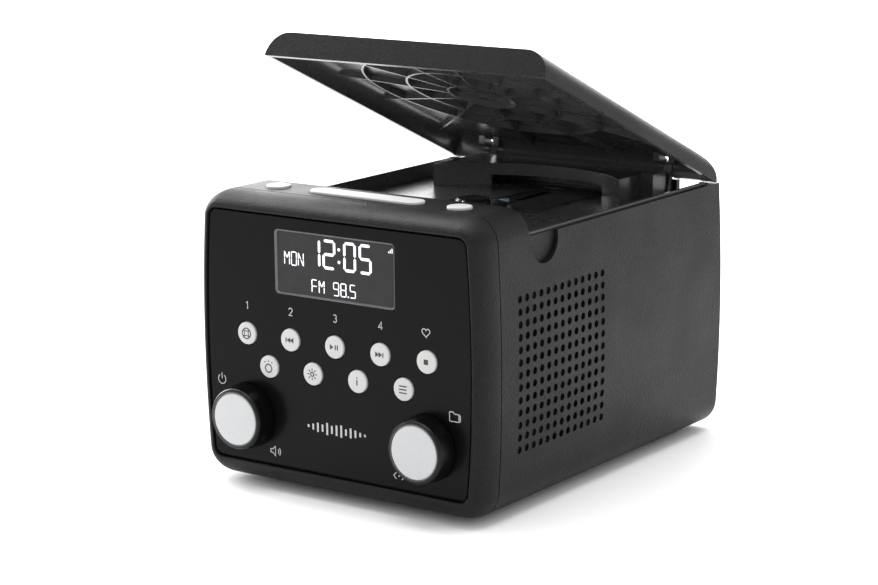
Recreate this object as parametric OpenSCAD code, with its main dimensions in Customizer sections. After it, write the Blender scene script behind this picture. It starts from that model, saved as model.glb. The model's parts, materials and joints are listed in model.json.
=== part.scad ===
// Tabletop radio with a lift-up lid over a disc player.
// The cabinet is a moulded wrap-round shell with bowed sides; a rounded front bezel carries a
// gloss fascia with nine keys and two knobs; a strip across the top carries three more keys.
// X runs across the front, +Y to the back, +Z up; the origin is on the table under the middle.

/* [Cabinet] */
// Width of the cabinet at the widest point of its bowed sides
body_w = 141.8; // [138:0.5:172]
// Height of the cabinet with the lid shut, without the feet
body_h = 119.1; // [118:0.5:144]
// Depth from the fascia's face to the rear face
body_d = 182.5; // [178:0.5:222]
// Wall thickness of the cabinet shell
wall = 2.5; // [2:0.1:3]
// Radius of the sideways bow of the side walls
side_bow_r = 800; // [600:10:1400]
// Corner radius along the top edges
top_corner_r = 11; // [9:0.5:13]
// Corner radius along the bottom edges
bottom_corner_r = 12; // [9:0.5:14]
// Height of the rubber feet
foot_h = 2; // [1.5:0.1:4]
// Radius of a rubber foot
foot_r = 6; // [4:0.5:8]

/* [Front] */
// Depth of the rounded bezel, from the fascia's face back to the seam
bezel_d = 12.45; // [11:0.05:15]
// How far the bezel's lip stands in front of the fascia
bezel_lip = 0.6; // [0.3:0.1:1.2]
// Distance from the widest point of the side to the fascia's edge
bezel_side_w = 5.8; // [5:0.1:7]
// Distance from the top of the cabinet to the fascia's edge
bezel_top_w = 7.1; // [6:0.1:9]
// Distance from the bottom of the cabinet to the fascia's edge
bezel_bottom_w = 9.6; // [8:0.1:11]
// Radius of the sideways bow of the fascia's edges
fascia_bow_r = 565; // [500:5:900]
// Corner radius of the fascia
fascia_corner_r = 3.5; // [2:0.1:4]
// Thickness of the fascia
fascia_t = 2.5; // [2:0.1:3]
// Width of the display window
window_w = 59.2; // [50:0.2:62]
// Height of the display window
window_h = 26.2; // [22:0.2:28]

/* [Keys and knobs] */
// Distance between neighbouring front keys
key_pitch = 22.31; // [20:0.1:23]
// Radius of a front key
key_r = 4.6; // [3.8:0.1:5]
// How far a key stands proud of the face that it sits in
key_proud = 0.8; // [0.6:0.1:1.4]
// Travel of a key
key_travel = 0.5; // [0.3:0.05:0.5]
// Height of the upper row of keys above the cabinet's bottom
upper_row_z = 62.5; // [58:0.5:66]
// Drop from the upper to the lower row of keys
row_drop = 12.4; // [11:0.1:14]
// Height of the knobs above the cabinet's bottom
knob_z = 28.5; // [26:0.5:32]
// Radius of a knob at its base
knob_r = 13.5; // [11:0.1:15]
// How far a knob stands out from the fascia
knob_out = 9.6; // [8:0.1:14]
// Width of the rim round the satin disc in a knob's face
knob_rim = 2.7; // [2:0.1:4]
// Radius of an encoder shaft
shaft_r = 3; // [2.5:0.1:3]

/* [Top strip] */
// Depth of the top strip, from the seam to the lid
strip_d = 21.3; // [20:0.1:24]
// Radius of the two round keys on the strip
top_key_r = 5; // [4:0.1:5.5]
// Distance of a round key from the middle
top_key_x = 44.9; // [43:0.1:47]
// Length of the snooze bar
snooze_l = 55; // [40:0.5:58]
// Width of the snooze bar
snooze_w = 9.2; // [7:0.1:10]

/* [Lid and hinge] */
// Height of the lid, from the split line to its top
lid_h = 10.9; // [10:0.1:10.9]
// Wall thickness of the lid
lid_wall = 2.2; // [1.8:0.1:2.4]
// Angle at which the lid is drawn open
lid_open = 24; // [24]
// Radius of a hinge eye
eye_r = 2.7; // [2.4:0.1:2.8]
// Radius of a hinge pin
pin_r = 1.25; // [1:0.05:1.4]
// Distance of a hinge from the middle
hinge_x = 46; // [40:0.5:47]
// Height of the ribs under the lid
rib_h = 2.5; // [1.5:0.1:2.8]
// Thickness of a rib
rib_t = 1; // [0.8:0.1:1.6]

/* [Disc player] */
// Radius of the disc that the player takes
disc_r = 60; // [60]
// Radius of the curved wall behind the disc
well_r = 64.8; // [62:0.1:66]
// Distance of the spindle behind the fascia's face
spindle_y = 95.8; // [95:0.1:98]
// Depth of the disc well's floor below the split line
well_depth = 5.9; // [5.5:0.1:7]
// Radius of the turntable's rubber seat
seat_r = 14.5; // [12:0.1:15.5]
// Radius of the hub that centres the disc
hub_r = 7.45; // [7.45]
// Height of the hub above the disc seat
hub_h = 2.6; // [2:0.1:3]
// Radial travel of the laser sled
sled_travel = 35; // [20:1:35]
// Distance from the spindle to the lens when the sled is home
sled_home = 23; // [22:0.5:24]
// Number of teeth on the sled pinion
pinion_teeth = 12; // [12]
// Pitch radius of the sled pinion
pinion_r = 5; // [4.5:0.1:5.5]

/* [Speakers and grille] */
// Distance between neighbouring grille holes
hole_pitch = 5; // [4:0.1:5]
// Number of holes along each side of the square grille
hole_count = 13; // [9:2:13]
// Diameter of a grille hole
hole_d = 3; // [2:0.1:3.4]
// Distance of the grille's middle behind the fascia's face
grille_y = 55.4; // [52:0.2:60]
// Height of the grille's middle above the cabinet's bottom
grille_z = 55.4; // [52:0.2:58]
// Outer radius of a speaker
speaker_r = 34.5; // [30:0.5:36]
// Depth of a speaker from its flange to the back of its magnet
speaker_d = 24; // [20:0.5:26]

/* [Aerial and sockets] */
// Radius of the aerial's outer tube
aerial_r = 2.4; // [2:0.1:3]
// Length of the aerial's outer tube
aerial_l = 102; // [80:1:104]
// Distance that the aerial's inner tube pulls out
aerial_travel = 80; // [50:1:85]
// Radius of the headphone socket's bore
jack_r = 1.77; // [1.77]

/* [Fits] */
// Gap between a key and the hole round it, and between pieces that pass each other
clearance = 0.3; // [0.2:0.05:0.4]
// Radial gap between a shaft or pin and the bore it turns in
run_fit = 0.05; // [0.03:0.01:0.08]
// Radial gap between pieces that are pushed together for good
seat_fit = 0.02; // [0.01:0.01:0.04]

/* [Hidden] */

$fn = 64;
eps = 0.01;

// Heights above the table
base_z = foot_h;
top_z = base_z + body_h;
split_z = top_z - lid_h;
strip_z = split_z - 1.2;
floor_z = split_z - well_depth;
rim_z = split_z + 4;

// Distances behind the fascia's face
seam_y = bezel_d;
strip_y = bezel_d + strip_d;
rear_y = body_d;
cover_t = 3;
cover_y = rear_y - cover_t;
aerial_y = rear_y + 5.7;
aerial_tip_r = 2.7;
aerial_back = aerial_y + aerial_tip_r;
mid_y = (aerial_back - knob_out) / 2;

half_w = body_w / 2;
deck_gap = 0.25;
deck_t = 2;
deck_front = strip_y + clearance;
deck_back = cover_y - clearance;

// Moves a piece from the cabinet's own front plane to the model's origin.
module placed(x = 0, y = 0, z = 0) {
    translate([x, y - mid_y, z]) children();
}

// Draws a flat shape in X and Z and runs it from y0 back to y1.
module along_y(y0, y1) {
    placed(0, y1) rotate([90, 0, 0]) linear_extrude(y1 - y0) children();
}

// Draws a flat shape in Y and Z and runs it from x0 to x1.
module along_x(x0, x1) {
    placed(x0) rotate([90, 0, 90]) linear_extrude(x1 - x0) children();
}

// Draws a flat shape in X and Y and runs it from z0 up to z1.
module along_z(z0, z1) {
    placed(0, 0, z0) linear_extrude(z1 - z0) children();
}

// Round bar from y0 back to y1 at (x, z).
module bar_y(r, x, z, y0, y1) {
    placed(x, y0, z) rotate([-90, 0, 0]) cylinder(r = r, h = y1 - y0);
}

// Round bar from x0 to x1 at (y, z).
module bar_x(r, y, z, x0, x1) {
    placed(x0, y, z) rotate([0, 90, 0]) cylinder(r = r, h = x1 - x0);
}

// Round bar from z0 up to z1 at (x, y).
module bar_z(r, x, y, z0, z1) {
    placed(x, y, z0) cylinder(r = r, h = z1 - z0);
}

// Block between two corners.
module block(x0, x1, y0, y1, z0, z1) {
    placed(x0, y0, z0) cube([x1 - x0, y1 - y0, z1 - z0]);
}

// Distance from the middle to the centre of a corner arc that meets a side bowed to radius bow.
function corner_x(half, bow, r, dz) = half - bow + sqrt(pow(bow - r, 2) - dz * dz);
function corner_lift(bow, r, dz) = r * dz / (bow - r);

// Rectangle with bowed sides and round corners: half is its half width at mid height.
module bowed(half, bow, z0, z1, r_low, r_high) {
    mid = (z0 + z1) / 2;
    low_dz = mid - z0 - r_low;
    high_dz = z1 - r_high - mid;
    low_x = corner_x(half, bow, r_low, low_dz);
    high_x = corner_x(half, bow, r_high, high_dz);
    low = z0 + r_low - corner_lift(bow, r_low, low_dz);
    high = z1 - r_high + corner_lift(bow, r_high, high_dz);
    intersection() {
        translate([half - bow, mid]) circle(r = bow, $fn = 1080);
        translate([bow - half, mid]) circle(r = bow, $fn = 1080);
        translate([-half, low]) square([2 * half, high - low]);
    }
    for (s = [-1, 1]) {
        translate([s * low_x, z0 + r_low]) circle(r = r_low, $fn = 72);
        translate([s * high_x, z1 - r_high]) circle(r = r_high, $fn = 72);
    }
    translate([-low_x, z0]) square([2 * low_x, r_low + 1]);
    translate([-high_x, z1 - r_high - 1]) square([2 * high_x, r_high + 1]);
}

// The same outline as a list of points, for the bezel's flowing surface.
function arc_points(cx, cz, r, a0, a1, n) =
    [for (i = [0:n - 1]) let (a = a0 + (a1 - a0) * i / n) [cx + r * cos(a), cz + r * sin(a)]];
function bowed_points(half, bow, z0, z1, r_low, r_high, n_side = 14, n_end = 10, n_corner = 9) =
    let (mid = (z0 + z1) / 2,
         low_dz = mid - z0 - r_low,
         high_dz = z1 - r_high - mid,
         low_x = corner_x(half, bow, r_low, low_dz),
         high_x = corner_x(half, bow, r_high, high_dz),
         low_a = asin(low_dz / (bow - r_low)),
         high_a = asin(high_dz / (bow - r_high)))
    concat(
        arc_points(half - bow, mid, bow, -low_a, high_a, n_side),
        arc_points(high_x, z1 - r_high, r_high, high_a, 90, n_corner),
        [for (i = [0:n_end - 1]) [high_x * (1 - 2 * i / n_end), z1]],
        arc_points(-high_x, z1 - r_high, r_high, 90, 180 - high_a, n_corner),
        arc_points(bow - half, mid, bow, 180 - high_a, 180 + low_a, n_side),
        arc_points(-low_x, z0 + r_low, r_low, 180 + low_a, 270, n_corner),
        [for (i = [0:n_end - 1]) [-low_x * (1 - 2 * i / n_end), z0]],
        arc_points(low_x, z0 + r_low, r_low, 270, 360 - low_a, n_corner));

// The cabinet's outline, drawn a distance inside its outer face.
module outline(inset = 0) {
    bowed(half_w - inset, side_bow_r - inset, base_z + inset, top_z - inset,
          bottom_corner_r - inset, top_corner_r - inset);
}

// ---------------------------------------------------------------- cabinet

hole_reach = (hole_count - 1) / 2 - 0.1;
hole_r = hole_d / 2;
dimple_d = 0.9;
scoop_r = 9.8;
scoop_y = strip_y + scoop_r + 0.4;
scoop_z = split_z - 6;
scoop_drop = 1.9;
scoop_d = 1.7;
boss_r = 4;
screw_r = 1.3;
screw_head_r = 2.6;
screw_x = half_w - wall - 5;
screw_zs = [base_z + 10, split_z - 12];
board_z = base_z + 8;
board_t = 1.6;
board_half = 50;
board_front = grille_y + 14;
board_back = rear_y - 6.5;
post_xs = [-board_half + 5, board_half - 5];
post_ys = [board_front + 5, board_back - 5];
speaker_ring_t = 3;
speaker_x = half_w - 7;
grille_zt = base_z + grille_z;

// Half width of the cabinet at a height on its bowed sides.
function side_x(z) = corner_x(half_w, side_bow_r, 0, z - (base_z + top_z) / 2);

// Square grille of one side: holes over the speaker go through, the rest are dimples.
module grille_holes(side) {
    far = (hole_count - 1) / 2;
    for (i = [-far:far]) {
        for (j = [-far:far]) {
            open = sqrt(i * i + j * j) < hole_reach;
            x = side_x(grille_zt + j * hole_pitch);
            depth = open ? 2 * wall : dimple_d;
            bar_x(hole_r, grille_y + i * hole_pitch, grille_zt + j * hole_pitch,
                  side > 0 ? x - depth : -x - 1, side > 0 ? x + 1 : -x + depth, $fn = 20);
        }
    }
}

module cabinet_shell() {
    color("#2b2b2c") {
        difference() {
            union() {
                difference() {
                    along_y(seam_y, rear_y) outline();
                    along_y(seam_y - 1, rear_y + 1) outline(wall);
                }
                // Rings that hold the speakers, and bosses for the rear cover's screws
                for (side = [-1, 1]) {
                    intersection() {
                        bar_x(speaker_r, grille_y, grille_zt, side > 0 ? speaker_x : -half_w,
                              side > 0 ? half_w : -speaker_x);
                        along_y(seam_y, rear_y) outline(wall / 2);
                    }
                    for (z = screw_zs) {
                        intersection() {
                            union() {
                                bar_y(boss_r, side * screw_x, z, cover_y - 16, cover_y);
                                block(side > 0 ? screw_x : -half_w, side > 0 ? half_w : -screw_x,
                                      cover_y - 16, cover_y, z - 1, z + 1);
                            }
                            along_y(seam_y, rear_y) outline(wall / 2);
                        }
                    }
                }
                for (x = post_xs, y = post_ys) bar_z(3, x, y, base_z + wall / 2, board_z);
            }
            block(-half_w - 1, half_w + 1, seam_y - 1, strip_y + eps, strip_z, top_z + 1);
            block(-half_w - 1, half_w + 1, strip_y, rear_y + 1, split_z, top_z + 1);
            for (side = [-1, 1]) {
                bar_x(speaker_r - speaker_ring_t, grille_y, grille_zt,
                      side > 0 ? speaker_x - 1 : wall - half_w - 1,
                      side > 0 ? half_w - wall + 1 : 1 - speaker_x);
                grille_holes(side);
                for (z = screw_zs) {
                    bar_y(screw_r + seat_fit, side * screw_x, z, cover_y - 12, cover_y + 1);
                }
                // Finger scoop under the lid's edge
                bar_x(scoop_r, scoop_y, split_z - scoop_drop,
                      side > 0 ? side_x(scoop_z) - scoop_d : -half_w - 1,
                      side > 0 ? half_w + 1 : scoop_d - side_x(scoop_z));
            }
            for (x = post_xs, y = post_ys) {
                bar_z(screw_r + seat_fit, x, y, base_z + wall + 1, board_z + 1);
            }
        }
    }
}

notch_in = hinge_x + 4;
notch_out = half_w - 10;
inlet_x = -30;
inlet_z = board_z + board_t + 6;
jack_x = 30;
jack_z = board_z + board_t + 5;
aerial_x = 52;
aerial_z = base_z + 92;
aerial_bush_r = 3;
vent_pitch = 7;
vent_w = 2.4;
vent_low = base_z + 52;
vent_high = base_z + 76;

module rear_cover() {
    color("#262627") difference() {
        along_y(cover_y, rear_y) outline(wall + deck_gap);
        block(-half_w, half_w, cover_y - 1, rear_y + 1, split_z - 0.1, top_z);
        // The top edge drops at both corners
        for (s = [-1, 1]) {
            block(s > 0 ? notch_in : -notch_out, s > 0 ? notch_out : -notch_in,
                  cover_y - 1, rear_y + 1, floor_z + clearance, top_z);
            for (z = screw_zs) {
                bar_y(screw_r + 0.3, s * screw_x, z, cover_y - 1, rear_y + 1);
                bar_y(screw_head_r + clearance, s * screw_x, z, rear_y - 1.4, rear_y + 1);
            }
        }
        // Cooling slots
        for (i = [-5:5]) {
            block(i * vent_pitch - vent_w / 2, i * vent_pitch + vent_w / 2,
                  cover_y - 1, rear_y + 1, vent_low, vent_high);
        }
        block(inlet_x - 5, inlet_x + 5, cover_y - 1, rear_y + 1, inlet_z - 6, inlet_z + 5.5);
        bar_y(4 + clearance, jack_x, jack_z, cover_y - 1, rear_y + 1);
        bar_y(aerial_bush_r + run_fit, aerial_x, aerial_z, cover_y - 1, rear_y + 1);
    }
}

foot_x = half_w - 20;
foot_ys = [seam_y + 12, rear_y - 18];

module rubber_feet() {
    color("#1c1c1c") for (x = [-foot_x, foot_x], y = foot_ys) {
        bar_z(foot_r, x, y, 0, foot_h);
    }
}

// Pan-head screw pointing along +Y or -Y at (x, z), its head's face at y.
module screw_y(x, z, y, length, way) {
    bar_y(screw_r, x, z, way > 0 ? y : y - length, way > 0 ? y + length : y);
    difference() {
        bar_y(screw_head_r, x, z, way > 0 ? y - 1.2 : y, way > 0 ? y : y + 1.2);
        for (a = [0, 90]) {
            placed(x, way > 0 ? y - 1.2 : y + 1.2, z) rotate([0, a, 0])
                cube([3, 1, 0.6], center = true);
        }
    }
}

module case_screws() {
    color("#4a4a4c") {
        for (s = [-1, 1], z = screw_zs) screw_y(s * screw_x, z, rear_y - 1.4, 11, -1);
        for (x = post_xs, y = post_ys) {
            bar_z(screw_r, x, y, board_z - 4, board_z + board_t);
            bar_z(screw_head_r, x, y, board_z + board_t, board_z + board_t + 1.2);
        }
        for (s = [-1, 1], z = face_post_zs) screw_y(s * face_post_x, z, face_board_y + board_t, 5, -1);
        for (x = damper_xs, y = damper_ys) {
            bar_z(damper_pin_r + 1.7, x, y, damper_low - 1.2, damper_low);
        }
        for (s = [-1, 1]) {
            bar_z(screw_head_r, s * strip_post_x, strip_mid_y, top_board_z - 1.2, top_board_z);
            bar_z(screw_r, s * strip_post_x, strip_mid_y, top_board_z, top_board_z + 5);
        }
    }
}

// ---------------------------------------------------------------- front

fascia_z0 = base_z + bezel_bottom_w;
fascia_z1 = top_z - bezel_top_w;
fascia_half = half_w - bezel_side_w;
ledge_t = 2;
lip_share = 0.93;
hollow_share = 0.42;
fascia_gap = 0.1;
face_board_y = 9;
face_post_x = fascia_half - 8;
face_post_zs = [fascia_z0 + 6, fascia_z1 - 6];
window_gap = 0.1;
window_sink = 0.8;
window_back = window_sink + 1.2;
window_corner_r = 1.8;
window_ledge = 1.2;
window_z = fascia_z1 - 5 - window_h / 2;
knob_x = 2 * key_pitch;
knob_zt = base_z + knob_z;
bushing_r = shaft_r + 0.8;
key_zs = [base_z + upper_row_z, base_z + upper_row_z - row_drop];
key_flange_y = fascia_t + clearance;
switch_h = 2.6;
switch_dome_h = 0.3;
stem_end_y = face_board_y - switch_h - switch_dome_h - key_travel - 0.1;

function key_place(row, i) = [(row == 0 ? i - 2 : i - 1.5) * key_pitch, key_zs[row]];
key_places = concat([for (i = [0:4]) key_place(0, i)], [for (i = [0:3]) key_place(1, i)]);

// Rounded frame round the fascia. Each point of the cabinet's outline is joined to the matching
// point of the fascia's opening; a quarter ellipse rolls from the seam to the front lip, and the
// inner side steps back round a ledge that the fascia rests on. Places across the frame are
// shares of the way from the outline to the opening.
module front_bezel() {
    outer = bowed_points(half_w, side_bow_r, base_z, top_z, bottom_corner_r, top_corner_r);
    inner = bowed_points(fascia_half, fascia_bow_r, fascia_z0, fascia_z1, fascia_corner_r,
                         fascia_corner_r);
    steps = 12;
    roll = [for (i = [0:steps]) let (a = 90 * i / steps)
        [lip_share * (1 - cos(a)), seam_y - (seam_y + bezel_lip) * sin(a)]];
    back = [[1, -bezel_lip + 0.5], [1, fascia_t], [1.3, fascia_t], [1.3, fascia_t + ledge_t],
            [0.9, fascia_t + ledge_t], [hollow_share, fascia_t + ledge_t + 2],
            [hollow_share, seam_y]];
    profile = concat(roll, back);
    n = len(outer);
    m = len(profile);
    points = [for (p = profile, i = [0:n - 1]) let (q = outer[i] + p[0] * (inner[i] - outer[i]))
        [q[0], p[1] - mid_y, q[1]]];
    faces = [for (j = [0:m - 1], i = [0:n - 1]) let (k = (j + 1) % m, l = (i + 1) % n)
        each [[j * n + i, j * n + l, k * n + l], [j * n + i, k * n + l, k * n + i]]];
    color("#2e2e2f") polyhedron(points = points, faces = faces, convexity = 6);
}

module fascia_panel() {
    color("#0b0b0c") difference() {
        union() {
            along_y(0, fascia_t) polygon(bowed_points(
                fascia_half - fascia_gap, fascia_bow_r, fascia_z0 + fascia_gap,
                fascia_z1 - fascia_gap, fascia_corner_r - fascia_gap,
                fascia_corner_r - fascia_gap));
            for (s = [-1, 1], z = face_post_zs) {
                bar_y(2.6, s * face_post_x, z, fascia_t - eps, face_board_y);
            }
        }
        along_y(-1, window_back) window_shape(0);
        block(window_ledge - window_w / 2, window_w / 2 - window_ledge, -1, fascia_t + 1,
              window_z - window_h / 2 + window_ledge, window_z + window_h / 2 - window_ledge);
        for (p = key_places) bar_y(key_r + clearance, p[0], p[1], -1, fascia_t + 1);
        for (s = [-1, 1]) {
            bar_y(bushing_r + 0.4, s * knob_x, knob_zt, -1, fascia_t + 1);
            for (z = face_post_zs) {
                bar_y(screw_r + seat_fit, s * face_post_x, z, fascia_t + 0.5, face_board_y + 1);
            }
        }
    }
}

// Outline of the display window, its corners round, drawn a distance inside its pocket.
module window_shape(inset) {
    r = window_corner_r - inset;
    wide = window_w / 2 - inset;
    high = window_h / 2 - inset;
    translate([0, window_z]) {
        square([2 * (wide - r), 2 * high], center = true);
        square([2 * wide, 2 * (high - r)], center = true);
        for (s = [-1, 1], t = [-1, 1]) translate([s * (wide - r), t * (high - r)]) circle(r = r);
    }
}

module display_window() {
    color("#101012") along_y(window_sink, window_back - eps) window_shape(window_gap);
}

module lcd_module() {
    half = window_w / 2 - 1.6;
    high = window_h / 2 - 1.6;
    color("#3c3f42") {
        block(-half, half, window_back, fascia_t + 1.4, window_z - high, window_z + high);
        block(-half - 1, half + 1, fascia_t + 1.4, face_board_y, window_z - high - 1,
              window_z + high + 1);
    }
}

module front_board() {
    half = fascia_half - 4;
    color("#1d5b34") difference() {
        block(-half, half, face_board_y, face_board_y + board_t, fascia_z0 + 2, fascia_z1 - 2);
        for (s = [-1, 1], z = face_post_zs) {
            bar_y(screw_r + 0.2, s * face_post_x, z, face_board_y - 1, face_board_y + 3);
        }
    }
}

// One tact switch: a square body with a low dome, its back at the origin, facing +Z.
module tact_switch() {
    translate([-3, -3, 0]) cube([6, 6, switch_h]);
    translate([0, 0, switch_h]) cylinder(r = 1.7, h = switch_dome_h);
}

module tact_switches() {
    color("#55585a") {
        for (p = key_places) {
            placed(p[0], face_board_y, p[1]) rotate([90, 0, 0]) tact_switch();
        }
        for (x = top_switch_xs) placed(x, strip_mid_y, top_board_z + board_t) tact_switch();
    }
}

// Round key: cap, flange behind the fascia, and the stem that meets its switch.
module front_key(number) {
    p = key_places[number];
    color("#dedfdf") {
        bar_y(key_r, p[0], p[1], -key_proud, key_flange_y + eps);
        bar_y(key_r + 0.9, p[0], p[1], key_flange_y, key_flange_y + 1);
        bar_y(1.5, p[0], p[1], key_flange_y + 1 - eps, stem_end_y);
    }
}

module ball_key() { front_key(0); }
module back_key() { front_key(1); }
module play_key() { front_key(2); }
module forward_key() { front_key(3); }
module stop_key() { front_key(4); }
module alarm_key() { front_key(5); }
module dimmer_key() { front_key(6); }
module info_key() { front_key(7); }
module menu_key() { front_key(8); }

// ---------------------------------------------------------------- knobs and encoders

encoder_w = 12;
encoder_front = fascia_t + 0.5;
cavity_r = 4.6;
cavity_y = face_board_y - 3.4;
plate_y = cavity_y + 0.6;
plate_t = 1;
tail_r = 1.2;
knob_back = -0.8;
bushing_y = knob_back + key_travel + 0.15;
cap_t = 1.2;
cap_gap = 0.1;
knob_cap_r = knob_r - knob_rim;

module knob(side) {
    color("#141415") placed(side * knob_x, 0, knob_zt) rotate([90, 0, 0]) difference() {
        rotate_extrude() {
            polygon([[shaft_r + seat_fit, -knob_back], [knob_r - 0.4, -knob_back],
                     [knob_r, -knob_back + 0.4], [knob_r - 0.2, knob_out * 0.4],
                     [knob_r - 1, knob_out - 1], [knob_r - 1.5, knob_out - 0.2],
                     [knob_cap_r + cap_gap, knob_out - 0.2],
                     [knob_cap_r + cap_gap, knob_out - cap_t],
                     [shaft_r + seat_fit, knob_out - cap_t]]);
        }
        // The blind ring behind the skirt keeps the wall even
        rotate_extrude() translate([shaft_r + 3, -knob_back - eps])
            square([knob_r - shaft_r - 5.5, knob_out - 4.6]);
    }
}

module knob_cap(side) {
    color("#d9dadb") bar_y(knob_cap_r, side * knob_x, knob_zt, -knob_out, cap_t - knob_out);
}

// Rotary encoder with a push action: threaded bushing, square can, and a cavity for the plate.
module encoder(side) {
    color("#77797b") difference() {
        union() {
            block(side * knob_x - encoder_w / 2, side * knob_x + encoder_w / 2, encoder_front,
                  face_board_y, knob_zt - encoder_w / 2, knob_zt + encoder_w / 2);
            bar_y(bushing_r, side * knob_x, knob_zt, bushing_y, encoder_front + eps);
        }
        bar_y(shaft_r + run_fit, side * knob_x, knob_zt, -1, cavity_y + eps);
        bar_y(cavity_r, side * knob_x, knob_zt, cavity_y, face_board_y - 0.4);
    }
}

module push_plate(side) {
    color("#c9c9c4") difference() {
        bar_y(cavity_r - 0.1, side * knob_x, knob_zt, plate_y, plate_y + plate_t);
        bar_y(tail_r + run_fit, side * knob_x, knob_zt, plate_y - 1, plate_y + plate_t + 1);
    }
}

module encoder_shaft(side) {
    color("#b4b6b8") {
        bar_y(shaft_r, side * knob_x, knob_zt, cap_t - knob_out, plate_y - 0.1);
        bar_y(tail_r, side * knob_x, knob_zt, plate_y - 0.2, plate_y + plate_t + 0.3);
    }
}

module left_knob() { knob(-1); }
module right_knob() { knob(1); }
module left_knob_cap() { knob_cap(-1); }
module right_knob_cap() { knob_cap(1); }
module left_encoder() { encoder(-1); }
module right_encoder() { encoder(1); }
module left_push_plate() { push_plate(-1); }
module right_push_plate() { push_plate(1); }
module left_shaft() { encoder_shaft(-1); }
module right_shaft() { encoder_shaft(1); }

// ---------------------------------------------------------------- top strip

strip_mid_y = seam_y + strip_d / 2 - 1;
strip_t = wall;
under_z = top_z - strip_t;
top_key_proud = 1;
top_flange_z = under_z - clearance;
top_board_z = under_z - 8.6;
top_switch_xs = [-top_key_x, 0, top_key_x];
top_stem_z = top_board_z + board_t + switch_h + switch_dome_h + key_travel + 0.1;
strip_post_x = (snooze_l / 2 + top_key_x - top_key_r) / 2;

// Long bar with round ends.
module stadium(length, width) {
    r = width / 2;
    translate([r - length / 2, -r]) square([length - width, width]);
    for (s = [-1, 1]) translate([s * (length / 2 - r), 0]) circle(r = r);
}

module top_strip() {
    color("#323233") difference() {
        union() {
            difference() {
                along_y(seam_y, strip_y) outline();
                along_y(seam_y - 1, strip_y + 1) outline(strip_t);
                block(-half_w - 1, half_w + 1, seam_y - 1, strip_y + 1, 0, strip_z);
            }
            // Back wall that closes the strip towards the disc well
            intersection() {
                along_y(strip_y - 2, strip_y) outline(strip_t - 0.5);
                block(-half_w, half_w, seam_y, strip_y, strip_z, top_z);
            }
            intersection() {
                along_y(strip_y - 2, strip_y) outline(wall + deck_gap);
                block(-half_w, half_w, seam_y, strip_y, floor_z - deck_t, strip_z + 1);
            }
            for (s = [-1, 1]) {
                bar_z(2.6, s * strip_post_x, strip_mid_y, top_board_z + board_t, under_z + eps);
            }
        }
        along_z(under_z - 1, top_z + 1) translate([0, strip_mid_y])
            stadium(snooze_l + 2 * clearance, snooze_w + 2 * clearance);
        for (s = [-1, 1]) {
            bar_z(top_key_r + clearance, s * top_key_x, strip_mid_y, under_z - 1, top_z + 1);
            bar_z(screw_r + seat_fit, s * strip_post_x, strip_mid_y, top_board_z, under_z - 2);
        }
    }
}

module snooze_bar() {
    color("#e4e5e5") {
        along_z(top_flange_z - eps, top_z + top_key_proud) translate([0, strip_mid_y])
            stadium(snooze_l, snooze_w);
        along_z(top_flange_z - 1, top_flange_z) translate([0, strip_mid_y])
            stadium(snooze_l + 2, snooze_w + 2);
        bar_z(1.5, 0, strip_mid_y, top_stem_z, top_flange_z - 1 + eps);
    }
}

module top_key(side) {
    color("#e4e5e5") {
        bar_z(top_key_r, side * top_key_x, strip_mid_y, top_flange_z - eps,
              top_z + top_key_proud);
        bar_z(top_key_r + 0.9, side * top_key_x, strip_mid_y, top_flange_z - 1, top_flange_z);
        bar_z(1.5, side * top_key_x, strip_mid_y, top_stem_z, top_flange_z - 1 + eps);
    }
}

module left_top_key() { top_key(-1); }
module right_top_key() { top_key(1); }

module top_board() {
    half = top_key_x + 7;
    color("#1d5b34") difference() {
        block(-half, half, strip_mid_y - 7, strip_mid_y + 7, top_board_z, top_board_z + board_t);
        for (s = [-1, 1]) {
            bar_z(screw_r + 0.2, s * strip_post_x, strip_mid_y, top_board_z - 1,
                  top_board_z + board_t + 1);
        }
    }
}

// ---------------------------------------------------------------- disc deck

cover_left = -7.5;
cover_right = 24;
cover_front = spindle_y + 10;
cover_back = spindle_y + well_r + 3;
cover_plate_t = 0.7;
slot_half = 5.5;
slot_front = spindle_y + 13;
slot_back = spindle_y + sled_home + sled_travel + 5;
seat_z = floor_z + cover_plate_t + 2.3;
hub_hole_r = seat_r + 1.6;
block_left = -50;
block_right = 41;
block_back = deck_back - 4;
block_wall = 1.8;
arch_left = -30;
arch_right = 27;
arch_z = floor_z + 4.6;
eye_y = rear_y - 1;
eye_z = split_z + 5.3;
eye_half = 2;
eye_gap = clearance;
chassis_left = -30;
chassis_right = 22;
chassis_front = spindle_y - 20;
chassis_back = slot_back + 7;
chassis_t = 1.6;
damper_pin_r = 1.5;
damper_xs = [chassis_left - 4, chassis_right + 4];
damper_ys = [spindle_y - 12, spindle_y + 66];
plate_top = floor_z - deck_t - 1;
plate_h = 1.5;
damper_low = plate_top - plate_h - 1.5;

// Raised block behind the disc, its front a curve round the spindle.
module rear_block_shape(inset) {
    difference() {
        union() {
            translate([block_left + inset, spindle_y])
                square([block_right - block_left - 2 * inset, block_back - spindle_y - inset]);
            translate([block_right - 1 - inset, block_back - 11 + inset])
                square([7, 11 - 2 * inset]);
        }
        translate([0, spindle_y]) circle(r = well_r + inset, $fn = 180);
    }
}

module hinge_arm(side) {
    along_x(side * hinge_x - eye_half, side * hinge_x + eye_half) {
        polygon([[deck_back - 4.2, floor_z - eps], [deck_back, floor_z - eps],
                 [deck_back, split_z + 0.4], [eye_y + eye_r - 0.4, eye_z - 1.3],
                 [eye_y, eye_z + 1], [eye_y - eye_r + 0.2, eye_z + 1]]);
        translate([eye_y, eye_z]) circle(r = eye_r);
    }
}

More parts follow.
